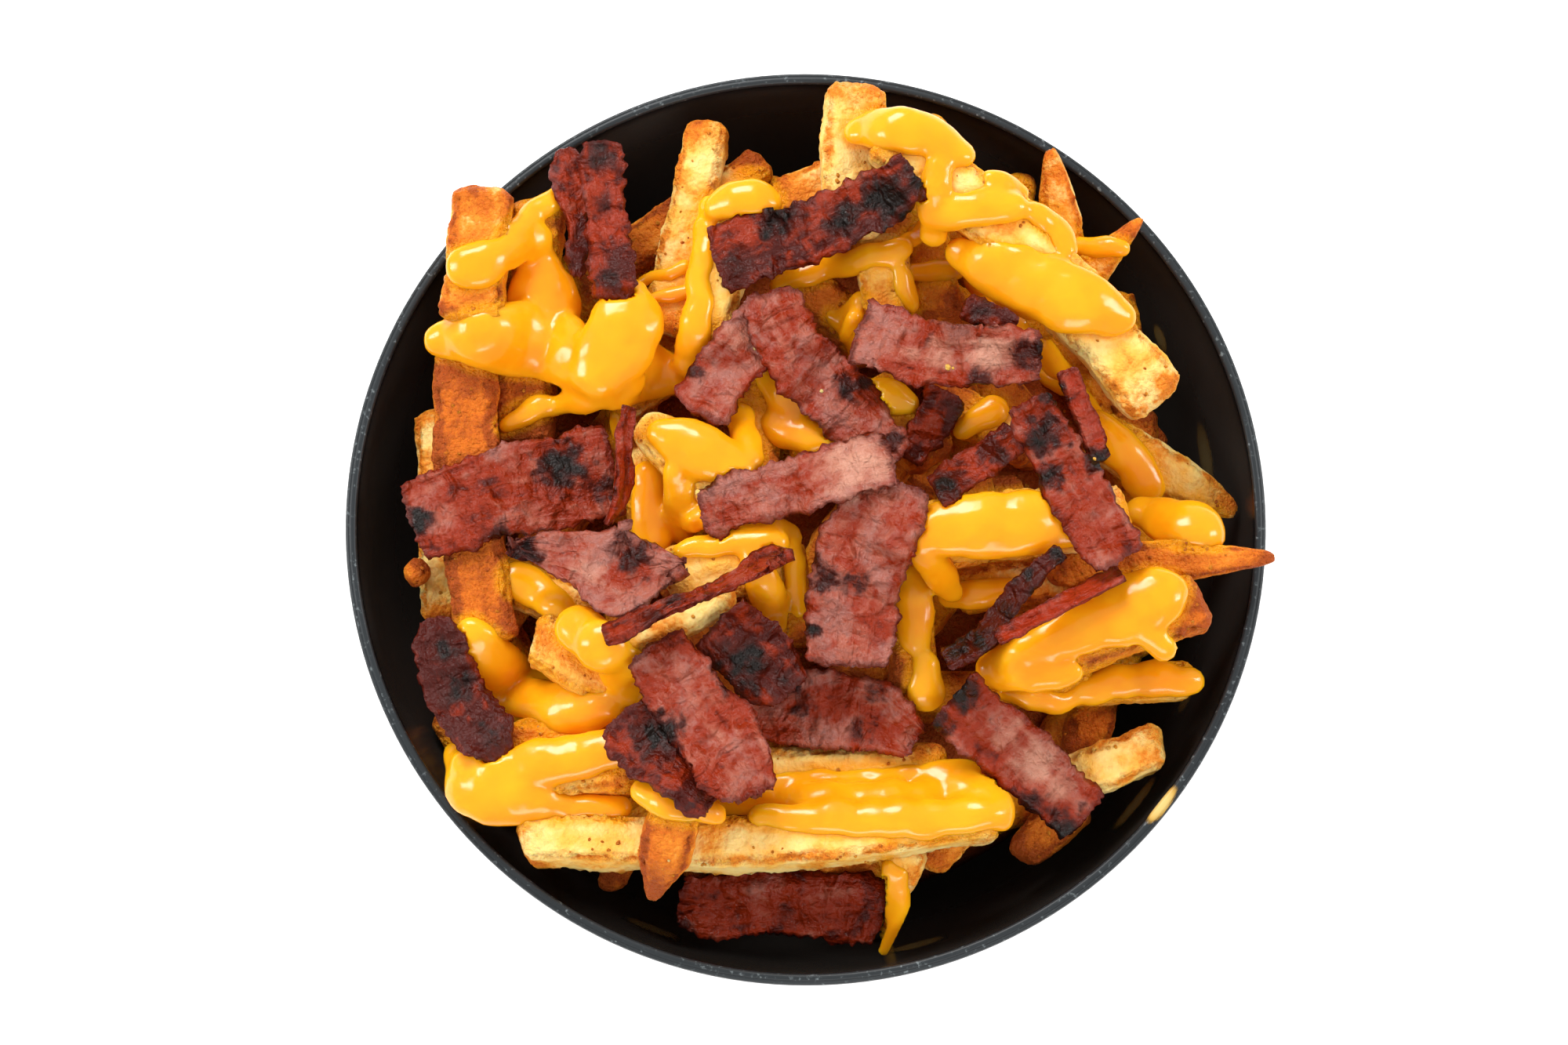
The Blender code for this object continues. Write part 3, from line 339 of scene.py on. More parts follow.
# Poured sauce, stroke by stroke: seen x, seen y, width
STROKES = (
    ((-63, 49.5, 8), (-60, 50, 8), (-56.5, 51.5, 6.5), (-54, 53.5, 6.5), (-50.5, 54.5, 6.5)),
    ((-45.5, 63.5, 4), (-48, 62, 4.5), (-50.5, 60, 4.5), (-52.5, 58, 5), (-54.5, 55.5, 5.5)),
    ((-51.5, 56, 4.5), (-50, 52, 6.5), (-49, 48, 9), (-49, 44, 12.5), (-49, 39.5, 14.5)),
    ((-68, 35.5, 6), (-64.5, 36, 8), (-60.5, 36, 11.5), (-55.5, 36, 13.5), (-50.5, 35.5, 14),
     (-45.5, 34.5, 12.5), (-42, 33, 9)),
    ((-31.5, 45, 4), (-32, 42.5, 7.5), (-33, 39, 12), (-34.5, 35.5, 14.5), (-36, 32.5, 13.5)),
    ((-31.5, 33, 8), (-28.5, 31, 8), (-26, 29, 7), (-24, 28, 4.5)),
    ((-24.5, 28.5, 6), (-29.5, 27.5, 6.5), (-34.5, 26, 6.5), (-39.5, 24.5, 5.5), (-45.5, 24, 4),
     (-50.5, 22.5, 4), (-53.5, 21, 4), (-55.5, 19.5, 2.5)),
    ((-18, 61, 4.5), (-18.5, 57, 5.5), (-19, 52.5, 4.5), (-20, 48, 4.5), (-20, 43, 5), (-20, 38.5, 6),
     (-20.5, 34.5, 6), (-22, 31.5, 6)),
    ((-30.5, 46.5, 2), (-26.5, 48, 2), (-22.5, 49.5, 2.5)),
    ((-30, 43, 1.5), (-26, 44, 2.5), (-21.5, 45, 2.5)),
    ((-16.5, 61, 5), (-13.5, 62.5, 7), (-10, 63.5, 8.5), (-7, 62, 5.5)),
    ((-5, 46, 3.5), (-1, 48, 4.5), (3.5, 49.5, 5), (8.5, 50.5, 5), (13.5, 51.5, 4.5), (18, 53, 4)),
    ((16, 52, 3), (19.5, 54.5, 3), (22.5, 57.5, 3), (24, 59, 2.5)),
    ((18, 48, 3.5), (19, 44, 4), (19.5, 42, 3)),
    ((-27, 18, 5), (-23.5, 17, 8.5), (-19.5, 15, 10), (-16, 13, 9), (-12.5, 11, 6)),
    ((-12, 21.5, 5), (-11, 17, 5.5), (-10.5, 13.5, 5.5)),
    ((-7, 28, 4.5), (-5.5, 26, 7), (-3.5, 24.5, 8), (-1, 24.5, 7)),
    ((-35, 21.5, 2.5), (-34.5, 17.5, 2.5)),
    ((-29, 10, 6), (-29, 5, 6.5), (-29, 0.5, 7), (-28, -2, 6)),
    ((-6, 20, 5), (-3, 18, 6.5), (1, 16.5, 6), (4.5, 16.5, 4)),
    ((-21, 8.5, 1.5), (-21.5, 4.5, 1.5), (-21.5, 1, 3)),
    ((10, 75.5, 5.5), (14, 76, 8), (18.5, 76.5, 8.5), (23, 75, 8), (27, 73, 7), (29, 71, 5.5)),
    ((25, 68.5, 5), (24, 64.5, 6), (23.5, 60.5, 6), (24, 56, 5)),
    ((24, 59.5, 5.5), (27.5, 59.5, 6.5), (31.5, 60.5, 6.5), (35.5, 61.5, 6.5), (39, 61, 5)),
    ((29, 52, 6), (33.5, 50, 9), (39, 47.5, 12), (45, 45, 12.5), (51, 43, 12), (56, 41, 8.5),
     (58.5, 40, 6)),
    ((54, 20, 5), (58, 16, 7), (61, 12, 7.5), (63, 8, 6.5)),
    ((62, 3.5, 6.5), (65.5, 2, 8.5), (69.5, 1.5, 10), (73, 0.5, 8.5), (75, -1, 5.5)),
    ((19.5, 48.5, 3), (24, 48.5, 4), (28, 49, 4), (31, 49.5, 2.5)),
    ((42.5, 60, 4), (46, 58.5, 5), (48, 55.5, 5.5), (49, 53, 4)),
    ((51, 53.5, 3.5), (55, 53, 4), (59, 53, 3)),
    ((13, 26, 4.5), (16.5, 25, 6.5), (19, 23.5, 4)),
    ((29, 18.5, 3.5), (31.5, 20.5, 4.5), (34.5, 22.5, 6)),
    ((43.5, 30, 3), (46, 28.5, 4), (48, 27, 4)),
    ((5, 40, 2.5), (7.5, 39, 2.5), (9, 36, 3), (9.5, 33, 2.5)),
    ((23, 0.5, 8), (27, 0.5, 11), (32, 0.5, 12), (37, 1, 12), (42.5, 1.5, 11.5), (47, 1.5, 9),
     (50.5, 0.5, 5.5)),
    ((20, 1.5, 6), (21, -2, 6), (22.5, -5.5, 6), (25, -9, 6), (27, -11.5, 4.5)),
    ((-53, -9, 6.5), (-50, -11, 7), (-46.5, -13.5, 6.5), (-43, -16, 4.5)),
    ((-61.5, -19, 5.5), (-60, -22, 8.5), (-57.5, -25.5, 11.5), (-54.5, -28.5, 12), (-51, -30.5, 11)),
    ((-62.5, -43, 5), (-58.5, -44.5, 6.5), (-53.5, -44.5, 8.5), (-48.5, -43, 8.5), (-42.5, -42, 8.5),
     (-35.5, -40.5, 7.5)),
    ((-64, -41.5, 5), (-63, -45.5, 7.5), (-61, -49, 10), (-56.5, -50, 10.5), (-52.5, -49, 9.5),
     (-47, -50.5, 5), (-41, -51, 4.5), (-34, -51, 4.5)),
    ((-29.5, -48, 5), (-26, -50, 6.5), (-21, -51.5, 5), (-16.5, -52, 4)),
    ((-7.5, -47.5, 5), (-2.5, -47.5, 6), (3, -47.5, 6.5), (9, -47.5, 7), (14.5, -48, 8.5),
     (19.5, -47.5, 8.5)),
    ((-8.5, -52.5, 4), (-2.5, -53, 5), (3, -53, 6), (10.5, -53, 6.5), (17.5, -53.5, 7), (24.5, -53, 7),
     (30, -52.5, 6.5), (33.5, -52, 5.5)),
    ((-9, -6, 6), (-8, -9.5, 6.5), (-7, -13.5, 6), (-5.5, -17.5, 4)),
    ((-2.5, -4, 3.5), (-1.5, -10, 4), (-1.5, -15, 2.5)),
    ((-21, 2, 4), (-15.5, 3, 5), (-9.5, 1, 5.5), (-3, -1, 5)),
    ((33.5, -25.5, 5), (37.5, -23.5, 6.5), (42, -22, 7), (46.5, -20, 8.5), (51, -17.5, 10),
     (55.5, -16, 11.5), (59.5, -14.5, 12.5), (63.5, -13, 11.5), (66.5, -11.5, 7.5)),
    ((62.5, -18, 5.5), (64.5, -21, 5), (65.5, -22, 4.5)),
    ((33, -27.5, 3), (39, -28.5, 4), (45, -27.5, 4.5), (49, -26.5, 3.5)),
    ((36.5, -30, 3), (40.5, -31.5, 4), (45, -32, 4.5), (48, -31.5, 3.5)),
    ((50.5, -30, 4.5), (55, -28.5, 6), (60.5, -27.5, 6.5), (66.5, -27.5, 6), (70.5, -28, 5)),
    ((20.5, -14.5, 3.5), (21.5, -16.5, 3)),
    ((22, -25, 5), (22, -27.5, 6), (22, -30, 7)),
    ((26.5, -12, 5), (30, -12.5, 5.5), (33.5, -12, 5.5), (38, -11, 4)),
    ((21.5, -47, 6), (24.5, -47, 9.5), (28.5, -47, 11), (31.5, -48.5, 10), (34.5, -51, 7.5),
     (35.5, -53, 5)),
    ((15, -61.5, 2.5), (15.5, -65.5, 2.5), (16, -69, 2), (15, -72.5, 2), (14, -75, 2)),
    ((-54, -29.5, 8.5), (-50, -31.5, 8.5), (-45.5, -33, 9), (-40.5, -34, 8), (-36, -33, 6)),
    ((30, 51, 5), (33.5, 45, 6), (38.5, 39, 5), (45, 33, 4.5), (50, 27, 3.5), (54, 20.5, 3.5)),
    ((34.5, 66.5, 3), (38, 65.5, 4), (40.5, 64, 3)),
    ((-47.5, 32.5, 7), (-42.5, 30, 8.5), (-37.5, 29, 8.5), (-33, 28, 7)),
    ((-18.5, -49.5, 6), (-9.5, -49.5, 6), (-1, -49.5, 6.5), (9, -49.5, 6.5), (19, -49.5, 7),
     (25.5, -49, 6)),
    ((19, -8.5, 4.5), (20, -12, 6.5), (20.5, -16.5, 7), (20, -20, 6)),
    ((10, 43, 3.5), (8.5, 40.5, 4.5), (7, 39, 4)),
    ((-23, -4, 3), (-17, -2.5, 4.5), (-11, -2, 5), (-5.5, -2.5, 5)),
    ((-42, -18, 8.5), (-38, -21.5, 8.5), (-32.5, -24.5, 6.5)),
    ((-24.5, 11, 3.5), (-23.5, 5, 5), (-23, -0.5, 4.5)),
    ((-38.5, -22.5, 4.5), (-34, -25.5, 6), (-32.5, -29.5, 6)),
)

# Hanging sauce: from a seen place and height to another, and the ball's radius at both
DROPS = (
    ((17, -63, 66), (17.5, -69, 63), 2.2, 1.6),
    ((17.5, -69, 63), (14, -77, 56), 1.6, 1.2),
    ((9, 40, 72), (7, 36, 69), 1.7, 1.2),
    ((-21, 2, 74), (-20.5, 0.5, 72), 1.2, 1.4),
)

# Thin sauce on the bowl, and faint films that paint the food's warm reflection on its wall; the first two
# rows are sauce, the rest are painted reflection: seen x, seen y, half length, half width, turn in
# degrees, height, cover
SMEARS_AND_PAINTED_REFLECTIONS = (
    (64.8, -50.6, 4.6, 1.7, 52, 0.3, 0.75),
    (60.0, -50.5, 7.0, 3.2, 60, 0.1, 0.55),
    (66, 36, 3.4, 2.0, 60, 0.1, 0.25),
    (74, 14, 7.0, 3.0, 80, 0.1, 0.15),
    (70, -30, 5.0, 2.5, 70, 0.1, 0.2),
    (20, -76, 6.0, 2.4, 10, 0.1, 0.25),
    (-28, -73, 6.0, 2.6, -20, 0.1, 0.18),
)

# Pale crumbs on the bacon: seen x, seen y
BACON_CRUMBS = ((26.5, 30.5), (27.4, 30.3), (53.4, 13.2), (-9.5, 34), (3, 26), (-20, 7))

# Soft boxes in metres: name, place, width and height, watts
LIGHTS = (
    ("back_box", (-0.25, 0.75, 0.7), (0.5, 0.35), 8.6),
    ("left_box", (-0.75, 0.1, 0.55), (0.2, 0.4), 3.4),
    ("right_box", (0.75, 0.15, 0.55), (0.2, 0.4), 3.4),
    ("front_box", (0.1, -0.8, 0.7), (0.6, 0.25), 3.2),
)
LIGHTS_AIM = Vector((0, 0, 0.07))
STUDIO_COLOUR = (1.0, 0.99, 0.97, 1.0)
STUDIO_STRENGTH = 0.64
FLOOR_HALF = 2.0


def camera_directions():
    """Which way the camera's right, top and back point."""
    rise, level = math.sin(CAMERA_ELEVATION), math.cos(CAMERA_ELEVATION)
    return Vector((1, 0, 0)), Vector((0, rise, level)), Vector((0, -level, rise))


def camera_place():
    """The camera's place, so that the middle of the rim's picture falls on its pixel."""
    right, up, back = camera_directions()
    pixel = RIM_RADIUS / RIM_RADIUS_PX
    across = (RIM_MIDDLE_PX[0] - PHOTO_MIDDLE[0]) * pixel
    down = (RIM_MIDDLE_PX[1] - PHOTO_MIDDLE[1]) * pixel
    return Vector((0, SEEN_ORIGIN_Y, RIM_HEIGHT)) + back * CAMERA_DISTANCE - right * across + up * down


EYE = camera_place()


def true_place(x, y, z):
    """The point at height z that lies behind the seen point x, y of the rim's plane."""
    share = (EYE.z - z) / (EYE.z - RIM_HEIGHT)
    return Vector((EYE.x + (x - EYE.x) * share, EYE.y + (y + SEEN_ORIGIN_Y - EYE.y) * share, z))


def seen_ray(x, y):
    """The direction from the camera to a seen point."""
    return (true_place(x, y, RIM_HEIGHT) - EYE).normalized()


def seen_place(point):
    """Where the rim's plane is crossed on the way from the camera to a point."""
    share = (EYE.z - RIM_HEIGHT) / (EYE.z - point.z)
    return EYE.x + (point.x - EYE.x) * share, EYE.y + (point.y - EYE.y) * share - SEEN_ORIGIN_Y


def eased(value, low, high):
    """0 below low, 1 above high and a smooth rise between."""
    share = min(max((value - low) / (high - low), 0.0), 1.0)
    return share * share * (3 - 2 * share)


def wall_radius(z):
    """The radius of the bowl's inside at a height."""
    depth = RIM_HEIGHT - RIM_IN_DROP - INSIDE_FLOOR
    drop = min(max((RIM_HEIGHT - RIM_IN_DROP - z) / depth, 0.0), 1.0)
    return INSIDE_FLOOR_RADIUS + (RIM_RADIUS - RIM_BAND - INSIDE_FLOOR_RADIUS) * math.sqrt(1 - drop * drop)


def kept_off_bowl(point):
    """A point of the food, moved inwards or up where it would touch the bowl."""
    over_rim = RIM_HEIGHT + WALL_GAP
    if point.z > over_rim:
        return point
    z = max(point.z, INSIDE_FLOOR + WALL_GAP)
    radius = math.hypot(point.x, point.y)
    limit = wall_radius(z) - WALL_GAP
    if radius <= limit:
        return Vector((point.x, point.y, z))
    if over_rim - z < radius - limit:
        return Vector((point.x, point.y, over_rim))
    return Vector((point.x * limit / radius, point.y * limit / radius, z))


def mesh_from(bm, name):
    """Turn a bmesh into a mesh and free it."""
    mesh = bpy.data.meshes.new(name)
    bm.to_mesh(mesh)
    bm.free()
    return mesh


def placed(name, data):
    """A new object in the scene."""
    made = bpy.data.objects.new(name, data)
    bpy.context.scene.collection.objects.link(made)
    return made


def finished(name, bm, material, node=None):
    """Turn a mesh in millimetres into a smooth piece in metres that rides on the part."""
    bmesh.ops.scale(bm, vec=(MM, MM, MM), verts=bm.verts)
    mesh = mesh_from(bm, name)
    mesh.shade_smooth()
    mesh.materials.append(material)
    piece = placed(name, mesh)
    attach(piece, "root")
    if node:
        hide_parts(node)
    return piece


def add_copy(whole, bm):
    """Add a mesh to a larger one and free it."""
    mesh = mesh_from(bm, "part_of_whole")
    whole.from_mesh(mesh)
    bpy.data.meshes.remove(mesh)


class Value:
    """A socket's value. Arithmetic on it adds Math nodes."""

    def __init__(self, finish, socket):
        self.finish = finish
        self.socket = socket

    def __add__(self, other):
        return self.finish.maths("ADD", self, other)

    def __sub__(self, other):
        return self.finish.maths("SUBTRACT", self, other)

    def __rsub__(self, other):
        return self.finish.maths("SUBTRACT", other, self)

    def __mul__(self, other):
        return self.finish.maths("MULTIPLY", self, other)

    __radd__ = __add__


class Finish:
    """A Principled material and the nodes that vary it."""

    def __init__(self, name, constants):
        self.material = bpy.data.materials.new(name)
        self.material.use_nodes = True
        self.tree = self.material.node_tree
        self.shader = self.tree.nodes["Principled BSDF"]
        for socket, value in constants.items():
            self.shader.inputs[socket].default_value = value
        object_place = self.node("ShaderNodeTexCoord").outputs["Object"]
        self.place = self.scaled(Value(self, object_place), 1 / MM)

    def node(self, kind, settings=None, inputs=None):
        """A node with its settings, and the values or links of its sockets."""
        made = self.tree.nodes.new(kind)
        for key, value in (settings or {}).items():
            setattr(made, key, value)
        for key, value in (inputs or {}).items():
            if isinstance(value, Value):
                self.tree.links.new(value.socket, made.inputs[key])
            else:
                made.inputs[key].default_value = value
        return made

    def maths(self, operation, first, second):
        """One Math node on two values."""
        made = self.node("ShaderNodeMath", {"operation": operation}, {0: first, 1: second})
        return Value(self, made.outputs[0])

    def scaled(self, vector, size):
        """A vector times a size, or times a size for each axis."""
        sizes = size if isinstance(size, tuple) else (size, size, size)
        made = self.node("ShaderNodeVectorMath", {"operation": "MULTIPLY"}, {0: vector, 1: sizes})
        return Value(self, made.outputs[0])

    def read(self, name, vector=False):
        """A value or vector that the mesh carries."""
        made = self.node("ShaderNodeAttribute", {"attribute_name": name})
        return Value(self, made.outputs["Vector" if vector else "Fac"])

    def cloud(self, size, detail=2.0, place=None, twist=0.0):
        """Smooth noise whose features are about size millimetres wide."""
        made = self.node("ShaderNodeTexNoise", {}, {
            "Vector": place or self.place, "Scale": 1 / size, "Detail": detail, "Distortion": twist})
        return Value(self, made.outputs[0])

    def between(self, value, low, high):
        """0 below low, 1 above high and a smooth rise between."""
        made = self.node("ShaderNodeMapRange", {"interpolation_type": "SMOOTHSTEP"}, {
            "Value": value, "From Min": low, "From Max": high})
        return Value(self, made.outputs[0])

    def mixed(self, share, first, second):
        """A colour between two colours."""
        colours = [c if isinstance(c, Value) else (*c, 1.0) for c in (first, second)]
        made = self.node("ShaderNodeMix", {"data_type": "RGBA"}, {0: share, 6: colours[0], 7: colours[1]})
        return Value(self, made.outputs[2])

    def bump(self, height, depth, below=None):
        """A relief of a depth in millimetres, on top of another one."""
        inputs = {"Strength": 1.0, "Distance": depth * MM, "Height": height}
        if below:
            inputs["Normal"] = below
        return Value(self, self.node("ShaderNodeBump", {}, inputs).outputs[0])

    def drive(self, socket, value):
        """Feed one of the shader's sockets."""
        self.tree.links.new(value.socket, self.shader.inputs[socket])


def fry_finish():
    """Crisp coating: pale gold faces, orange edges and brown crust, orange where sauce has soaked it."""
    f = Finish("crisp_coating", {"Specular IOR Level": 0.2, "Subsurface Weight": 0.45,
                                 "Subsurface Radius": (1.0, 0.7, 0.35), "Subsurface Scale": 0.002})
    tone, crust, glaze = f.read("tone"), f.read("crust"), f.read("glaze")
    patches = f.cloud(6.0, 3.0)
    grains = f.cloud(0.9, 4.0)
    spots = f.cloud(2.2, 3.0, twist=0.6)
    worn = f.between(f.cloud(4.5, 2.0), 0.3, 0.7)
    baked = crust * (worn * 0.75 + 0.1) * (tone * 1.4 + 0.3)
    brown = f.between(tone + baked + patches * 0.9 + grains * 0.5, 0.68, 1.8)
    pale = f.mixed(f.between(patches, 0.35, 0.65), (0.97, 0.67, 0.235), (0.95, 0.475, 0.07))
    golden = f.mixed(f.between(brown, 0.05, 0.42), pale, (0.82, 0.255, 0.016))
    crusty = f.mixed(f.between(brown, 0.36, 0.75), golden, (0.66, 0.155, 0.008))
    dark = f.mixed(f.between(brown, 0.75, 1.05), crusty, (0.38, 0.068, 0.006))
    speckled = f.mixed(f.between(spots, 0.62, 0.78) * 0.4, dark, (0.56, 0.15, 0.010))
    soaked = f.mixed(f.between(glaze, 0.25, 0.9) * 0.75, speckled, (0.95, 0.37, 0.008))
    f.drive("Base Color", soaked)
    f.drive("Roughness", 0.62 - f.between(glaze, 0.3, 0.9) * 0.36 - patches * 0.12)
    crumbs = f.cloud(0.6, 3.0)
    relief = f.bump(crumbs * f.between(crust + tone + patches, 0.5, 1.6), 1.4)
    f.drive("Normal", f.bump(grains + spots * 0.5, 0.5, relief))
    return f.material


def sauce_finish():
    """Thick cheddar sauce: smooth and glossy, with light that goes a little way into it."""
    f = Finish("cheddar_sauce", {"IOR": 1.45, "Roughness": 0.18, "Specular IOR Level": 0.35,
                                 "Coat Weight": 0.2, "Coat Roughness": 0.1, "Subsurface Weight": 0.85,
                                 "Subsurface Radius": (1.0, 0.75, 0.25), "Subsurface Scale": 0.003})
    broad = f.cloud(11.0, 2.0)
    f.drive("Base Color", f.mixed(f.between(broad, 0.3, 0.7), (0.98, 0.33, 0.003), (0.98, 0.40, 0.006)))
    f.drive("Normal", f.bump(f.cloud(4.0, 1.0), 0.35))
    return f.material


def bacon_finish():
    """Cooked bacon: dark, red, pink and fatty places, brown edges, burnt spots ringed with maroon, and
    greyish mauve patches of painted sheen.
    """
    f = Finish("browned_bacon", {"Specular IOR Level": 0.2, "Subsurface Weight": 0.1,
                                 "Subsurface Radius": (1.0, 0.3, 0.2), "Subsurface Scale": 0.0015})
    pink, red, rim = f.read("pink"), f.read("red"), f.read("rim")
    burnt, pale = f.read("burnt"), f.read("pale")
    grain = f.read("grain", vector=True)
    ripples = f.cloud(1.0, 1.0, place=f.scaled(grain, (0.30, 0.17, 1.0)), twist=0.9)
    streaks = f.cloud(1.0, 3.0, place=f.scaled(grain, (0.10, 0.42, 1.0)), twist=0.5)
    patches = f.cloud(8.0, 2.0, twist=0.6)
    blotches = f.cloud(3.0, 3.0, twist=0.8)
    mottling = f.cloud(1.3, 3.0, twist=0.4)
    pores = f.cloud(0.55, 3.0)
    fine = mottling * 0.7 + pores * 0.4
    richness = patches * 3.2 + streaks * 1.8 + blotches * 1.8 + fine + pink * 0.9
    meat = f.mixed(f.between(richness, 3.3, 4.2), (0.062, 0.005, 0.002), (0.25, 0.020, 0.003))
    pinker = f.mixed(f.between(richness, 4.2, 5.3), meat, (0.36, 0.090, 0.052))
    # Painted sheen: greyish mauve patches mixed into the colour where the bacon would look glossy.
    painted_sheen_share = f.between(patches + pink * 0.3 + mottling * 0.6, 0.95, 1.35)
    painted_sheen = f.mixed(painted_sheen_share * 0.6, pinker, (0.30, 0.135, 0.115))
    fatty = f.mixed(f.between(pale + streaks * 0.6 + mottling * 0.3, 0.8, 1.7), painted_sheen, (0.53, 0.25, 0.17))
    redder = f.mixed(f.between(red + pores * 0.6, 0.6, 1.5), fatty, (0.33, 0.024, 0.006))
    frayed = f.between(rim + pores * 0.9 + blotches * 1.4, 1.4, 2.3)
    edged = f.mixed(frayed * 0.8, redder, (0.095, 0.010, 0.005))
    scorch = burnt * 1.4 + patches * 0.8 + blotches * 1.3 + fine
    maroon = f.mixed(f.between(scorch, 1.8, 2.5), edged, (0.052, 0.005, 0.002))
    black = f.between(scorch, 2.3, 3.1)
    f.drive("Base Color", f.mixed(black, maroon, (0.008, 0.005, 0.004)))
    f.drive("Roughness", 0.22 - patches * 0.22 + mottling * 0.18)
    relief = f.bump(pores + mottling, 0.35)
    f.drive("Normal", f.bump(ripples + streaks * 0.4 + blotches * 0.4, 2.0, relief))
    return f.material


def film_finish():
    """A thin film of sauce that fades out at its edge; the faint ones are painted reflections of the food
    on the bowl.
    """
    f = Finish("sauce_film", {"Roughness": 0.3})
    film = f.read("film")
    # Painted reflection where the cover is low: these films stand for the warm light of the food on the
    # black wall; the others are sauce.
    f.drive("Base Color", f.mixed(f.between(film, 0.3, 1.0), (0.72, 0.40, 0.06), (0.85, 0.62, 0.20)))
    f.drive("Alpha", f.between(film + f.cloud(2.0, 2.0) * 0.3, 0.15, 0.75) * f.read("cover"))
    return f.material


def bowl_finish():
    """Glossy black melamine, scuffed grey along the rim, with the inside painted a little lighter and
    warmer as a painted warm reflection of the food.
    """
    f = Finish("glossy_black", {"Specular IOR Level": 0.28})
    height = Value(f, f.node("ShaderNodeSeparateXYZ", {}, {0: f.place}).outputs[2])
    rim = f.between(height, RIM_HEIGHT - RIM_IN_DROP, RIM_HEIGHT - 0.5)
    scuffs = f.between(f.cloud(0.9, 4.0), 0.58, 0.8)
    worn = f.mixed(scuffs * rim, (0.020, 0.024, 0.027), (0.20, 0.23, 0.24))
    # Painted reflection: the inside is a lighter, warmer copy of the black, standing for the warm light
    # that the food throws on the wall.
    wall = f.mixed(f.read("outside"), (0.036, 0.031, 0.027), (0.007, 0.007, 0.008))
    f.drive("Base Color", f.mixed(rim, wall, worn))
    f.drive("Roughness", 0.22 + rim * 0.16 + scuffs * rim * 0.2)
    f.drive("Normal", f.bump(f.cloud(1.6, 3.0), 0.03))
    return f.material


def bowl_profile():
    """The bowl's section as (radius, height), from the middle of its underside to that of its floor."""
    def arc(radius, reach, top, depth):
        turns = [0.5 * math.pi * i / WALL_STEPS for i in range(WALL_STEPS + 1)]
        return [(radius + reach * math.cos(t), top - depth * math.sin(t)) for t in turns]
    top = RIM_HEIGHT
    outer_top, inner_top = top - RIM_OUT_DROP, top - RIM_IN_DROP
    outside = arc(FOOT_RADIUS, RIM_RADIUS - FOOT_RADIUS, outer_top, outer_top - BODY_START)
    inner = RIM_RADIUS - RIM_BAND
    inside = arc(INSIDE_FLOOR_RADIUS, inner - INSIDE_FLOOR_RADIUS, inner_top, inner_top - INSIDE_FLOOR)
    lip = RIM_RADIUS - 0.75
    rim = [(RIM_RADIUS - 0.02, top - 0.95), (RIM_RADIUS - 0.1, top - 0.6), (RIM_RADIUS - 0.25, top - 0.35),
           (RIM_RADIUS - 0.45, top - 0.2), (lip + 0.1, top - 0.18), (lip, top - 0.3),
           (lip - 0.1, top - 0.12), (lip - 0.25, top - 0.02), (lip - 0.5, top),
           (inner + 0.5, top - 0.02), (inner + 0.2, top - 0.15), (inner + 0.05, top - 0.5)]
    foot = [(0.0, FOOT_RECESS), (FOOT_RADIUS - FOOT_WIDTH - 0.8, FOOT_RECESS),
            (FOOT_RADIUS - FOOT_WIDTH - 0.3, FOOT_RECESS - 0.4), (FOOT_RADIUS - FOOT_WIDTH, 0.3),
            (FOOT_RADIUS - FOOT_WIDTH + 0.3, 0.0), (FOOT_RADIUS - 0.3, 0.0), (FOOT_RADIUS, 0.3)]
    return foot + outside[::-1] + rim + inside + [(0.0, INSIDE_FLOOR)]


def turned(profile, segments):
    """A solid of revolution round Z."""
    bm = bmesh.new()
    verts = [bm.verts.new((r, 0.0, z)) for r, z in profile]
    edges = [bm.edges.new(pair) for pair in zip(verts, verts[1:])]
    bmesh.ops.spin(bm, geom=verts + edges, cent=(0, 0, 0), axis=(0, 0, 1), angle=2 * math.pi,
                   steps=segments, use_merge=True, use_duplicate=False)
    bmesh.ops.remove_doubles(bm, verts=bm.verts, dist=0.001)
    bmesh.ops.recalc_face_normals(bm, faces=bm.faces)
    return bm


def mark_outside(bm):
    """Mark the bowl's outside, rim and underside, which get none of the painted warm reflection of the
    food that the inside gets.
    """
    layer = bm.verts.layers.float.new("outside")
    for vert in bm.verts:
        beside_food = INSIDE_FLOOR - 0.5 < vert.co.z < RIM_HEIGHT - 1.25
        vert[layer] = not beside_food or math.hypot(vert.co.x, vert.co.y) > wall_radius(vert.co.z) + 0.5


def filler_fry(number, radius, angle, z, heading, draw):
    """One hidden stick, by the place of its middle and its heading."""
    x, y = radius * math.cos(angle), radius * math.sin(angle)
    half = 0.5 * draw.uniform(*FILLER_LENGTH)
    dx, dy = half * math.cos(heading), half * math.sin(heading)
    dz = half * draw.uniform(-FILLER_SLOPE, FILLER_SLOPE)
    thick = draw.uniform(*FILLER_WIDTH)
    return Fry(f"filler_{number:02d}", (x - dx, y - dy, z - dz), (x + dx, y + dy, z + dz),
               thick, FILLER_FLATNESS * thick, FILLER_TONE)


def filler_fries():
    """The fries under those that show: a ring along the wall, then some spread over the core."""
    draw = random.Random(FILLER_SEED)
    golden = math.pi * (3 - math.sqrt(5))
    rows = []
    for i in range(RING_FILLERS):
        angle = 2 * math.pi * i / RING_FILLERS
        heading = angle + 0.5 * math.pi + draw.uniform(-RING_TURN, RING_TURN)
        z = RING_HEIGHT + draw.uniform(-FILLER_LIFT, FILLER_LIFT)
        rows.append(filler_fry(i, RING_RADIUS, angle, z, heading, draw))
    for i in range(SPREAD_FILLERS):
        share = math.sqrt((i + 0.5) / SPREAD_FILLERS)
        heading = i * golden + 0.5 * math.pi + draw.uniform(-SPREAD_TURN, SPREAD_TURN)
        z = SPREAD_HEIGHT - SPREAD_FALL * share ** 2 + draw.uniform(-FILLER_LIFT, FILLER_LIFT)
        rows.append(filler_fry(RING_FILLERS + i, SPREAD_RADIUS * share, i * golden, z, heading, draw))
    return rows


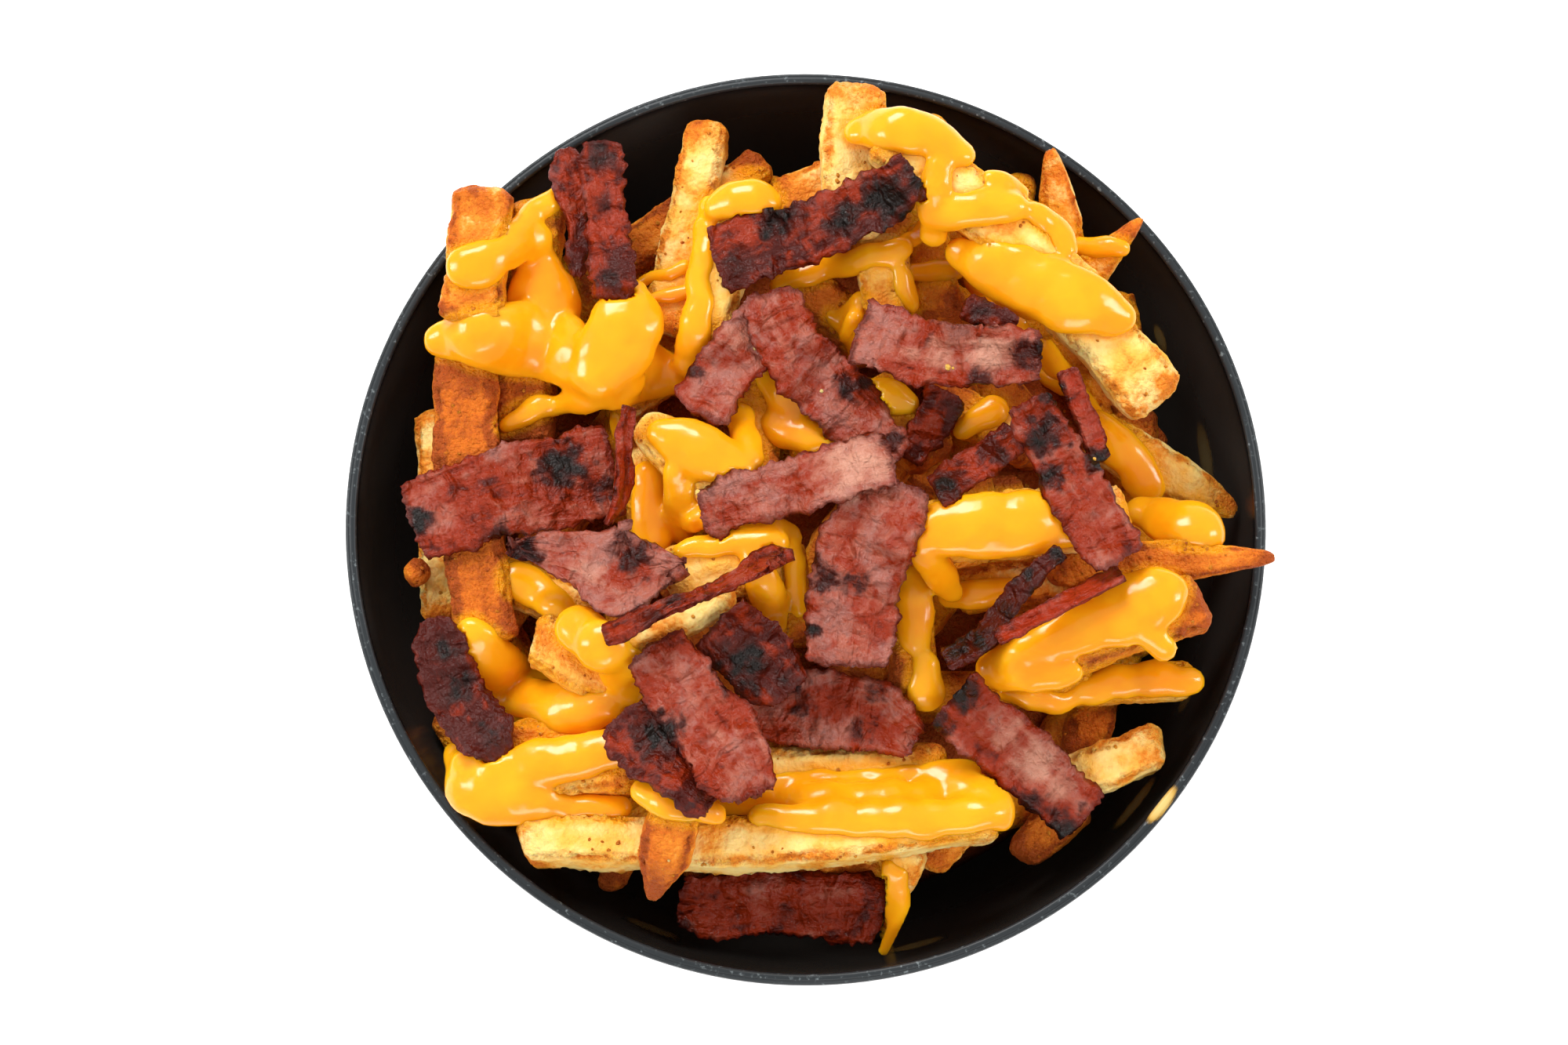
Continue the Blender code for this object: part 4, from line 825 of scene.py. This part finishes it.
def block(size, cell):
    """A box split into even cells."""
    bm = bmesh.new()
    bmesh.ops.create_cube(bm, size=1.0)
    bmesh.ops.scale(bm, vec=size, verts=bm.verts)
    for axis in range(3):
        edges = [e for e in bm.edges if abs(e.verts[0].co[axis] - e.verts[1].co[axis]) > 0.5 * size[axis]]
        cuts = max(1, round(size[axis] / cell) - 1)
        bmesh.ops.subdivide_edges(bm, edges=edges, cuts=cuts, use_grid_fill=True)
    return bm


def fry_stations(length, tip_start, tip_end):
    """Places along a fry and the section's scale at each: rounded ends, or a taper to a tip."""
    stations = []
    for tip, flip in ((tip_start, False), (tip_end, True)):
        taper = (TAPER_SHARE * length, 1.0) if tip < BLUNT_TIP else (END_ROUND, tip)
        near = [(0.0, tip if tip < BLUNT_TIP else tip * END_SHRINK), taper]
        stations += [(length - s, k) for s, k in near[::-1]] if flip else near
    return stations


def make_fry(fry, cell):
    """One coated fry: a box with rounded corners, uneven faces and crumbly edges."""
    draw = random.Random(fry.name)
    start, end = true_place(*fry.start), true_place(*fry.end)
    along = (end - start).normalized()
    side = along.cross(Vector((0, 0, 1))).normalized()
    up = side.cross(along)
    turn = math.radians(fry.roll + draw.uniform(-ROLL_SPREAD, ROLL_SPREAD))
    side, up = side * math.cos(turn) + up * math.sin(turn), up * math.cos(turn) - side * math.sin(turn)
    length = (end - start).length
    places, scales = zip(*fry_stations(length, fry.tip_start, fry.tip_end))
    half = Vector((length, fry.wide, fry.high)) / 2
    seed = Vector([draw.uniform(0, 300) for _ in range(3)])
    cut_most = END_CUT if length > SHORTEST_CUT else 0.0
    cuts = [draw.uniform(-cut_most, cut_most) * (tip >= BLUNT_TIP) for tip in (fry.tip_start, fry.tip_end)]
    bm = block((length, fry.wide, fry.high), cell)
    tone, crust, glaze = [bm.verts.layers.float.new(name) for name in ("tone", "crust", "glaze")]
    for vert in bm.verts:
        p = vert.co.copy()
        inner = Vector([min(max(c, FRY_ROUND - h), h - FRY_ROUND) for c, h in zip(p, half)])
        out = (p - inner).normalized()
        p = inner + out * FRY_ROUND
        edge = eased(min(abs(p.y) / half.y, abs(p.z) / half.z), 0.5, 0.92)
        tip = eased(abs(p.x), half.x - CUT_REACH, half.x)
        browned = eased(abs(p.x), half.x - BROWNED_REACH, half.x)
        cut = cuts[p.x > 0]
        p.x -= math.copysign(tip * abs(cut) * (0.5 + 0.5 * math.copysign(1.0, cut) * p.y / half.y), p.x)
        spot = p + seed
        relief = sum(height * noise.noise(spot / wave) for height, wave in COATING_WAVES)
        relief += (CRUMB_ON_FACE + CRUMB_ON_EDGE * edge) * noise.noise(spot / CRUMB_LENGTH)
        relief -= CHIP_DEPTH * edge * max(0.0, noise.noise(spot / CHIP_LENGTH) - 0.1)
        p += out * (relief - COATING_SINK)
        place = p.x + half.x
        uneven = UNEVEN_SHARE * noise.noise(Vector((place / UNEVEN_LENGTH, 7, seed.x)))
        scale = float(np.interp(place, places, scales)) * (1 + uneven)
        wander = WANDER * noise.noise(Vector((place / WANDER_LENGTH, seed.y, 0)))
        bend = fry.bow * math.sin(math.pi * place / length) + wander
        point = start + along * place + side * (p.y * scale + bend) + up * p.z * scale
        vert.co = kept_off_bowl(point)
        vert[tone] = fry.tone + TONE_SPREAD * noise.noise(spot / TONE_LENGTH)
        vert[crust] = max(edge, browned)
        vert[glaze] = SOAKED[tuple(round((c + SOAKED_HALF) / SOAKED_CELL) for c in seen_place(vert.co))]
    return bm


def make_fries(name, whole, rows, cell, material, ground):
    """Add fries to a mesh and finish it as one piece. It also joins the ground that the sauce lies on."""
    for fry in rows:
        add_copy(whole, make_fry(fry, cell))
    add_copy(ground, whole.copy())
    finished(name, whole, material, "fries_heap")


def make_core():
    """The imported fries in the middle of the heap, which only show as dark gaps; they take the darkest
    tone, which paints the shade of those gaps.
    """
    bm = turned([*CORE_PROFILE, (CORE_PROFILE[-1][0], INSIDE_FLOOR), (0.0, INSIDE_FLOOR)], CORE_SEGMENTS)
    tone, crust, glaze = [bm.verts.layers.float.new(name) for name in ("tone", "crust", "glaze")]
    for vert in bm.verts:
        vert.co = kept_off_bowl(vert.co)
        # Painted shade: the darkest tone, so that the deep gaps between the fries read dark.
        vert[tone], vert[crust], vert[glaze] = 1.0, 0.5, 0.0
    return bm


def line_places(line, step):
    """Even places on a rounded line: how far along, the point, the ways along and across, the width."""
    corners, widths = np.array(line, float)[:, :2], [point[2] for point in line]
    marks = np.concatenate([[0.0], np.cumsum(np.hypot(*np.diff(corners, axis=0).T))])
    at = np.linspace(0, marks[-1], max(4, round(marks[-1] / step)) + 1)
    middle = np.stack([np.interp(at, marks, corners[:, k]) for k in (0, 1)], 1)
    for _ in range(LINE_SOFTENED):
        middle[1:-1] = (middle[:-2] + 2 * middle[1:-1] + middle[2:]) / 4
    run = np.gradient(middle, axis=0)
    run /= np.hypot(run[:, 0], run[:, 1])[:, None]
    side = np.stack([run[:, 1], -run[:, 0]], 1)
    return at, middle, run, side, np.interp(at, marks, widths)


def spots_strength(spots, seen, wobble):
    """How strongly a list of round spots marks each seen point."""
    strength = np.zeros(seen.shape[:-1])
    for x, y, radius, most in spots:
        away = np.hypot(seen[..., 0] - x, seen[..., 1] - y) / radius + wobble
        strength = np.maximum(strength, most * np.clip(SPOT_CORE - SPOT_FADE * away, 0, 1))
    return strength


def neighbours_mean(field):
    """Each value's mean with its four neighbours."""
    padded = np.pad(field, 1, mode="edge")
    return (padded[:-2, 1:-1] + padded[2:, 1:-1] + padded[1:-1, :-2] + padded[1:-1, 2:] + field) / 5


def soaked_map():
    """How much sauce has run over each seen place: 1 under a stroke, less beside it."""
    axis = np.arange(-SOAKED_HALF, SOAKED_HALF + SOAKED_CELL, SOAKED_CELL)
    x, y = np.meshgrid(axis, axis, indexing="ij")
    away = np.full(x.shape, np.inf)
    pairs = [pair for stroke in STROKES for pair in zip(stroke, stroke[1:])]
    for (px, py, first), (qx, qy, last) in pairs:
        dx, dy = qx - px, qy - py
        share = np.clip(((x - px) * dx + (y - py) * dy) / (dx * dx + dy * dy), 0, 1)
        half = 0.5 * (first + (last - first) * share)
        away = np.minimum(away, np.hypot(x - px - share * dx, y - py - share * dy) - half)
    return np.clip(1 - away / SOAKED_REACH, 0, 1)


SOAKED = soaked_map()


def seen_heights(seen, solid):
    """The height of a solid's shown surface at each seen point, and the nearest one beside it."""
    z = np.full(seen.shape[:-1], np.nan)
    for i, j in np.ndindex(z.shape):
        hit = solid.ray_cast(EYE, seen_ray(*seen[i, j]))[0]
        if hit:
            z[i, j] = hit.z
    while np.isnan(z).any():
        padded = np.pad(z, 1, constant_values=np.nan)
        around = np.stack([padded[:-2, 1:-1], padded[2:, 1:-1], padded[1:-1, :-2], padded[1:-1, 2:]])
        known = ~np.isnan(around)
        mean = np.where(known, around, 0).sum(0) / np.maximum(known.sum(0), 1)
        z = np.where(np.isnan(z) & known.any(0), mean, z)
    return z


def search_tree(pieces):
    """A search tree of objects, in millimetres. A strip's is that of its upper side."""
    bm = bmesh.new()
    for piece in pieces:
        bm.from_mesh(piece.data)
    bmesh.ops.scale(bm, vec=(1 / MM, 1 / MM, 1 / MM), verts=bm.verts)
    tree = BVHTree.FromBMesh(bm)
    bm.free()
    return tree


def sheet_mesh(seen, z, marks, grain):
    """A sheet with one vertex for each seen point and height, and the marks that its finish reads."""
    rows, columns = z.shape
    bm = bmesh.new()
    bmesh.ops.create_grid(bm, x_segments=rows - 1, y_segments=columns - 1, size=1.0)
    layers = {name: bm.verts.layers.float.new(name) for name in marks}
    grains = bm.verts.layers.float_vector.new("grain")
    for vert in bm.verts:
        i = round((vert.co.x + 1) / 2 * (rows - 1))
        j = round((vert.co.y + 1) / 2 * (columns - 1))
        vert.co = true_place(*seen[i, j], z[i, j])
        for name, layer in layers.items():
            vert[layer] = marks[name][i, j]
        vert[grains] = Vector(grain[i, j])
    bm.normal_update()
    if sum(face.normal.z for face in bm.faces) < 0:
        bmesh.ops.reverse_faces(bm, faces=bm.faces)
    return bm


def make_strip(strip, material):
    """One strip of bacon: a thin wrinkled sheet with ragged edges, on the top of its CAD solid."""
    node = f"bacon_{strip.name}"
    at, middle, run, side, wide = line_places(strip.line, BACON_CELL)
    widest = max(point[2] for point in strip.line)
    true_width = widest / math.cos(math.radians(strip.lean))
    shares = np.linspace(-0.5, 0.5, max(6, round(true_width / BACON_CELL)) + 1)
    seen = middle[:, None] + side[:, None] * (wide[:, None] * shares)[..., None]
    z = seen_heights(seen, search_tree([bpy.data.objects[node]]))
    top = z.max()
    for _ in range(BACON_SOFTENED):
        z = neighbours_mean(z)
    draw = random.Random(strip.name)
    seed = draw.uniform(0, 200)
    corner = [draw.uniform(*CORNER_SPREAD) for _ in range(4)]
    rows, columns = z.shape
    rim, wobble = np.zeros(z.shape), np.zeros(z.shape)
    slim = min(1.0, widest / FULL_WIDTH)
    half = at[-1] / 2
    for i, j in np.ndindex(z.shape):
        a, b = at[i], shares[j] * true_width
        outward, onward = math.copysign(1.0, shares[j]), math.copysign(1.0, a - half)
        edge = eased(2 * abs(shares[j]), 1 - EDGE_REACH / true_width, 1.0)
        end = eased(abs(a - half), half - EDGE_REACH, half)
        ragged = sum(far * noise.noise((a / wave, row * outward, seed)) for far, wave, row in RAGGED)
        ragged *= 1 - 0.5 * end
        torn = 0.8 * noise.noise((b / 3.0, 9 * onward, seed)) + 0.6 * noise.noise((b / 0.8, 3.0, seed))
        seen[i, j] += side[i] * outward * edge * slim * (ragged - 0.1)
        seen[i, j] += run[i] * onward * abs(end * (torn - 0.2)) * slim
        near_end = max(0.0, 1 - (half - abs(a - half)) / CORNER_REACH)
        cut = CORNER_CUT * near_end * abs(2 * shares[j]) ** 4
        cut *= corner[2 * (j > columns / 2) + (i > rows / 2)]
        seen[i, j] -= run[i] * onward * cut * slim + side[i] * outward * 0.3 * cut * slim
        buckle = noise.noise((a / 5.5, b / 8.0, seed)) + 0.5 * noise.noise((a / 2.2, b / 5.0, seed + 7))
        curl = CURL * edge * noise.noise((a / 6.0, 4 * outward, seed + 3))
        fine = 0.22 * noise.noise((a / 1.2, b / 2.4, seed)) + 0.10 * noise.noise((a / 0.7, b / 0.7, seed))
        z[i, j] += slim * (BUCKLE * buckle + curl - DROOP * edge * edge) + fine - 0.1
        rim[i, j] = max(eased(2 * abs(shares[j]), 1 - RIM_REACH / true_width, 1.0), eased(end, 0.4, 1.0))
        wobble[i, j] = 0.7 * noise.noise((seen[i, j, 0] / 2.0, seen[i, j, 1] / 2.0, seed))
    z -= max(0.0, z.max() - min(top, SAUCE_TOP) + 0.1)
    marks = {"pink": np.full(z.shape, strip.pink), "red": np.full(z.shape, strip.red), "rim": rim}
    marks["burnt"] = spots_strength(BURNT, seen, wobble)
    marks["pale"] = spots_strength(PALE, seen, 0.6 * wobble)
    along, across = np.meshgrid(at, shares * true_width, indexing="ij")
    bm = sheet_mesh(seen, z, marks, np.stack([along, across, np.full(z.shape, seed)], -1))
    piece = finished(f"strip_{strip.name}", bm, material, node)
    thick = piece.modifiers.new("thickness", "SOLIDIFY")
    thick.thickness = BACON_THICKNESS * MM
    thick.offset = -1.0
    return piece


def ground_level(line, side, wide, ground):
    """The height at which the fries carry a stroke, at five places across. It sags a little into gaps."""
    level = np.full((len(line), len(SAUCE_SIDES)), np.nan)
    for i, k in np.ndindex(level.shape):
        hit = ground.ray_cast(EYE, seen_ray(*(line[i] + side[i] * SAUCE_SIDES[k] * wide[i] / 2)))[0]
        if hit:
            level[i, k] = hit.z
    level = np.where(np.isnan(level), np.nanmin(level), level)
    across = SAUCE_FALL * (SAUCE_SIDES[1] - SAUCE_SIDES[0]) * wide[:, None] / 2
    for _ in range(SAUCE_SLACK):
        level[1:] = np.maximum(level[1:], level[:-1] - SAUCE_FALL * SAUCE_STEP)
        level[:-1] = np.maximum(level[:-1], level[1:] - SAUCE_FALL * SAUCE_STEP)
        level[:, 1:] = np.maximum(level[:, 1:], level[:, :-1] - across)
        level[:, :-1] = np.maximum(level[:, :-1], level[:, 1:] - across)
    for _ in range(SAUCE_SLACK):
        level = neighbours_mean(level)
    return level


def pour(number, stroke, ground):
    """One stroke of sauce: a row of flattened balls that lie on the fries."""
    bm = bmesh.new()
    at, line, run, side, wide = line_places(stroke, SAUCE_STEP)
    level = ground_level(line, side, wide, ground)
    height = level.mean(1)
    rise = np.clip(np.gradient(height, at), -SAUCE_RISE, SAUCE_RISE)
    tilt = np.clip((level[:, -1] - level[:, 0]) / (SAUCE_SIDES[-1] * wide), -SAUCE_TILT, SAUCE_TILT)
    for i in range(len(at)):
        wave = at[i] / SAUCE_WAVE
        half = 0.5 * wide[i] * (1 + 0.2 * noise.noise((wave, 0, number))) + SAUCE_SPREAD
        deep = min(SAUCE_THICKEST, SAUCE_FLAT * half + SAUCE_THINNEST)
        deep *= 1 + 0.25 * noise.noise((wave, 9, number))
        along = Vector((*run[i], rise[i])).normalized()
        across = Vector((*side[i], tilt[i]))
        across = (across - along * across.dot(along)).normalized()
        sway = SAUCE_SWAY * noise.noise((wave, 5, number))
        place = true_place(*(line[i] + side[i] * sway), height[i] + SAUCE_LIFT * deep)
        axes = Matrix((along * max(half, deep), across * half, across.cross(along) * deep)).transposed()
        bmesh.ops.create_icosphere(bm, subdivisions=2, radius=1.0,
                                   matrix=Matrix.Translation(place) @ axes.to_4x4())
    return bm


def remeshed(bm):
    """One closed, evenly meshed and softly rounded skin round overlapping closed bodies."""
    rough = placed("overlapping", mesh_from(bm, "overlapping"))
    skin = rough.modifiers.new("skin", "REMESH")
    skin.mode = "VOXEL"
    skin.voxel_size = SAUCE_VOXEL
    soft = rough.modifiers.new("soft", "SMOOTH")
    soft.factor = 0.5
    soft.iterations = SAUCE_SOFTENED
    even = bpy.data.meshes.new_from_object(rough.evaluated_get(bpy.context.evaluated_depsgraph_get()))
    bpy.data.objects.remove(rough)
    result = bmesh.new()
    result.from_mesh(even)
    return result


def add_drop(bm, start, end, first, last):
    """A row of balls of sauce from one seen place and height to another."""
    start, end = true_place(*start), true_place(*end)
    count = max(2, round((end - start).length / (DROP_STEP * min(first, last))))
    for k in range(count + 1):
        share = k / count
        radius = first + (last - first) * share
        place = Matrix.Translation(start.lerp(end, share))
        bmesh.ops.create_icosphere(bm, subdivisions=2, radius=radius, matrix=place)


def make_sauce(ground, lids, material):
    """All the poured sauce as one skin, which stays under the bacon."""
    bm = bmesh.new()
    for number, stroke in enumerate(STROKES):
        add_copy(bm, pour(number, stroke, ground))
    for drop in DROPS:
        add_drop(bm, *drop)
    bmesh.ops.recalc_face_normals(bm, faces=bm.faces)
    bm = remeshed(bm)
    for vert in bm.verts:
        over = vert.co.z - SAUCE_TOP + SAUCE_TOP_EASE
        if over > 0:
            vert.co.z = SAUCE_TOP - SAUCE_TOP_EASE * math.exp(-over / SAUCE_TOP_EASE)
        ray = (vert.co - EYE).normalized()
        lid = lids.ray_cast(EYE, ray)[0]
        if lid:
            under = lid + ray * (BACON_THICKNESS + UNDER_BACON)
            if (under - EYE).length > (vert.co - EYE).length:
                vert.co = under
    finished("poured_sauce", bm, material, "fries_heap")


def make_smears_and_painted_reflections(bowl, material):
    """Thin films of sauce, laid on the bowl's wall and rim; the faint ones paint the food's warm
    reflection on the wall.
    """
    whole = bmesh.new()
    for x, y, long, short, turn, height, cover in SMEARS_AND_PAINTED_REFLECTIONS:
        hit, normal, _, _ = bowl.ray_cast(EYE, seen_ray(x, y))
        heading = Vector((math.cos(math.radians(turn)), math.sin(math.radians(turn)), 0))
        along = (heading - normal * heading.dot(normal)).normalized()
        across = normal.cross(along)
        bm = bmesh.new()
        bmesh.ops.create_grid(bm, x_segments=SMEAR_CELLS[0], y_segments=SMEAR_CELLS[1], size=1.0)
        films, covers = [bm.verts.layers.float.new(name) for name in ("film", "cover")]
        for vert in bm.verts:
            u, v = vert.co.x, vert.co.y
            near, outward, _, _ = bowl.find_nearest(hit + along * u * long + across * v * short)
            vert[films] = max(0.0, 1 - u * u - v * v)
            vert[covers] = cover
            vert.co = near + outward * (SMEAR_GAP + height * vert[films] ** 0.7)
        add_copy(whole, bm)
    bmesh.ops.recalc_face_normals(whole, faces=whole.faces)
    finished("sauce_smears", whole, material)


def make_crumbs(name, places, ground, sizes, tone, material):
    """Loose crumbs of coating, lying where the camera sees them."""
    draw = random.Random(name)
    whole = bmesh.new()
    values = {"tone": tone, "crust": 0.8, "glaze": 0.0}
    layers = {key: whole.verts.layers.float.new(key) for key in values}
    for x, y in places:
        hit = ground.ray_cast(EYE, seen_ray(x, y))[0]
        if not hit:
            continue
        size = draw.uniform(*sizes)
        squash = Matrix.Diagonal((size * draw.uniform(0.7, 1.6), size, size * 0.6, 1))
        turn = Matrix.Rotation(draw.uniform(0, 6.3), 4, "Z")
        made = bmesh.ops.create_icosphere(whole, subdivisions=1, radius=1.0,
                                          matrix=Matrix.Translation(hit) @ turn @ squash)
        for vert in made["verts"]:
            lump = [noise.noise(vert.co / LUMP_LENGTH + shift) for shift in LUMP_SHIFTS]
            vert.co += LUMP_SHARE * size * Vector(lump)
            for key, value in values.items():
                vert[layers[key]] = value
    finished(name, whole, material)


def scattered():
    """Random seen places for crumbs, over all but the edge of the bowl."""
    draw = random.Random(CRUMB_SEED)
    places = []
    while len(places) < CRUMB_COUNT:
        x = draw.uniform(-CRUMB_PLACES_REACH, CRUMB_PLACES_REACH)
        y = draw.uniform(-CRUMB_PLACES_REACH, CRUMB_PLACES_REACH)
        if math.hypot(x, y) < CRUMB_PLACES_REACH:
            places.append((x, y))
    return places


def add_stage():
    """A plain pale floor."""
    bm = bmesh.new()
    bmesh.ops.create_grid(bm, x_segments=1, y_segments=1, size=FLOOR_HALF)
    floor = placed("floor", mesh_from(bm, "floor"))
    paper = Finish("pale_floor", {"Roughness": 0.9, "Specular IOR Level": 0.1, "Emission Strength": 0.3})
    paper.drive("Base Color", paper.mixed(paper.cloud(60.0), (0.94, 0.94, 0.94), (0.96, 0.96, 0.96)))
    floor.data.materials.append(paper.material)


def add_lights():
    """A dim white studio with four soft boxes round the table, which the sauce reflects."""
    world = bpy.data.worlds.new("studio")
    world.use_nodes = True
    world.node_tree.nodes["Background"].inputs["Color"].default_value = STUDIO_COLOUR
    world.node_tree.nodes["Background"].inputs["Strength"].default_value = STUDIO_STRENGTH
    bpy.context.scene.world = world
    bpy.context.scene.view_settings.view_transform = "Standard"
    for name, place, size, watts in LIGHTS:
        lamp = bpy.data.lights.new(name, "AREA")
        lamp.shape = "RECTANGLE"
        lamp.size, lamp.size_y = size
        lamp.energy = watts
        box = placed(name, lamp)
        box.location = place
        box.rotation_euler = (LIGHTS_AIM - Vector(place)).to_track_quat("-Z", "Y").to_euler()


def add_camera():
    """The photograph's camera."""
    lens = bpy.data.cameras.new("photo_camera")
    lens.sensor_width = SENSOR
    lens.lens = SENSOR * CAMERA_DISTANCE * RIM_RADIUS_PX / RIM_RADIUS / PHOTO_WIDTH
    lens.clip_start = 0.01
    camera = placed("photo_camera", lens)
    camera.matrix_world = Matrix.Translation(EYE * MM) @ Matrix(camera_directions()).transposed().to_4x4()
    bpy.context.scene.camera = camera


def corners(box):
    """A box's two corners as plain lists."""
    return [list(corner) for corner in box]


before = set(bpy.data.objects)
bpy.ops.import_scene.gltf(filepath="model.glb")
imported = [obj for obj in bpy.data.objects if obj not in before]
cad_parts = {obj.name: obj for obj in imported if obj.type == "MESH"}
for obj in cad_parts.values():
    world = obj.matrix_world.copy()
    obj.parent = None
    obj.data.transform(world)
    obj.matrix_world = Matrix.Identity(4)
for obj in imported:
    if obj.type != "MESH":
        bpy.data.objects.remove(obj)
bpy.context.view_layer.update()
add_camera()
add_lights()
add_stage()

bowl_mesh = turned(bowl_profile(), BOWL_SEGMENTS)
mark_outside(bowl_mesh)
bowl_tree = BVHTree.FromBMesh(bowl_mesh)
finished("glossy_bowl", bowl_mesh, bowl_finish(), "bowl")

coating = fry_finish()
ground_mesh = bmesh.new()
groups = {"fries_left": [], "fries_middle": [], "fries_right": []}
for fry in FRIES:
    middle = (fry.start[0] + fry.end[0]) / 2
    side = "left" if middle < LEFT_GROUP_END else "right" if middle > RIGHT_GROUP_START else "middle"
    groups[f"fries_{side}"].append(fry)
for name, rows in groups.items():
    make_fries(name, bmesh.new(), rows, FRY_CELL, coating, ground_mesh)
make_fries("fries_below", make_core(), filler_fries(), HIDDEN_CELL, coating, ground_mesh)
ground = BVHTree.FromBMesh(ground_mesh)
ground_mesh.free()

cured = bacon_finish()
lids = search_tree([make_strip(strip, cured) for strip in STRIPS])
make_sauce(ground, lids, sauce_finish())
make_smears_and_painted_reflections(bowl_tree, film_finish())
make_crumbs("bacon_crumbs", BACON_CRUMBS, lids, BACON_CRUMB_SIZES, BACON_CRUMB_TONE, coating)
make_crumbs("fry_crumbs", scattered(), ground, FRY_CRUMB_SIZES, FRY_CRUMB_TONE, coating)
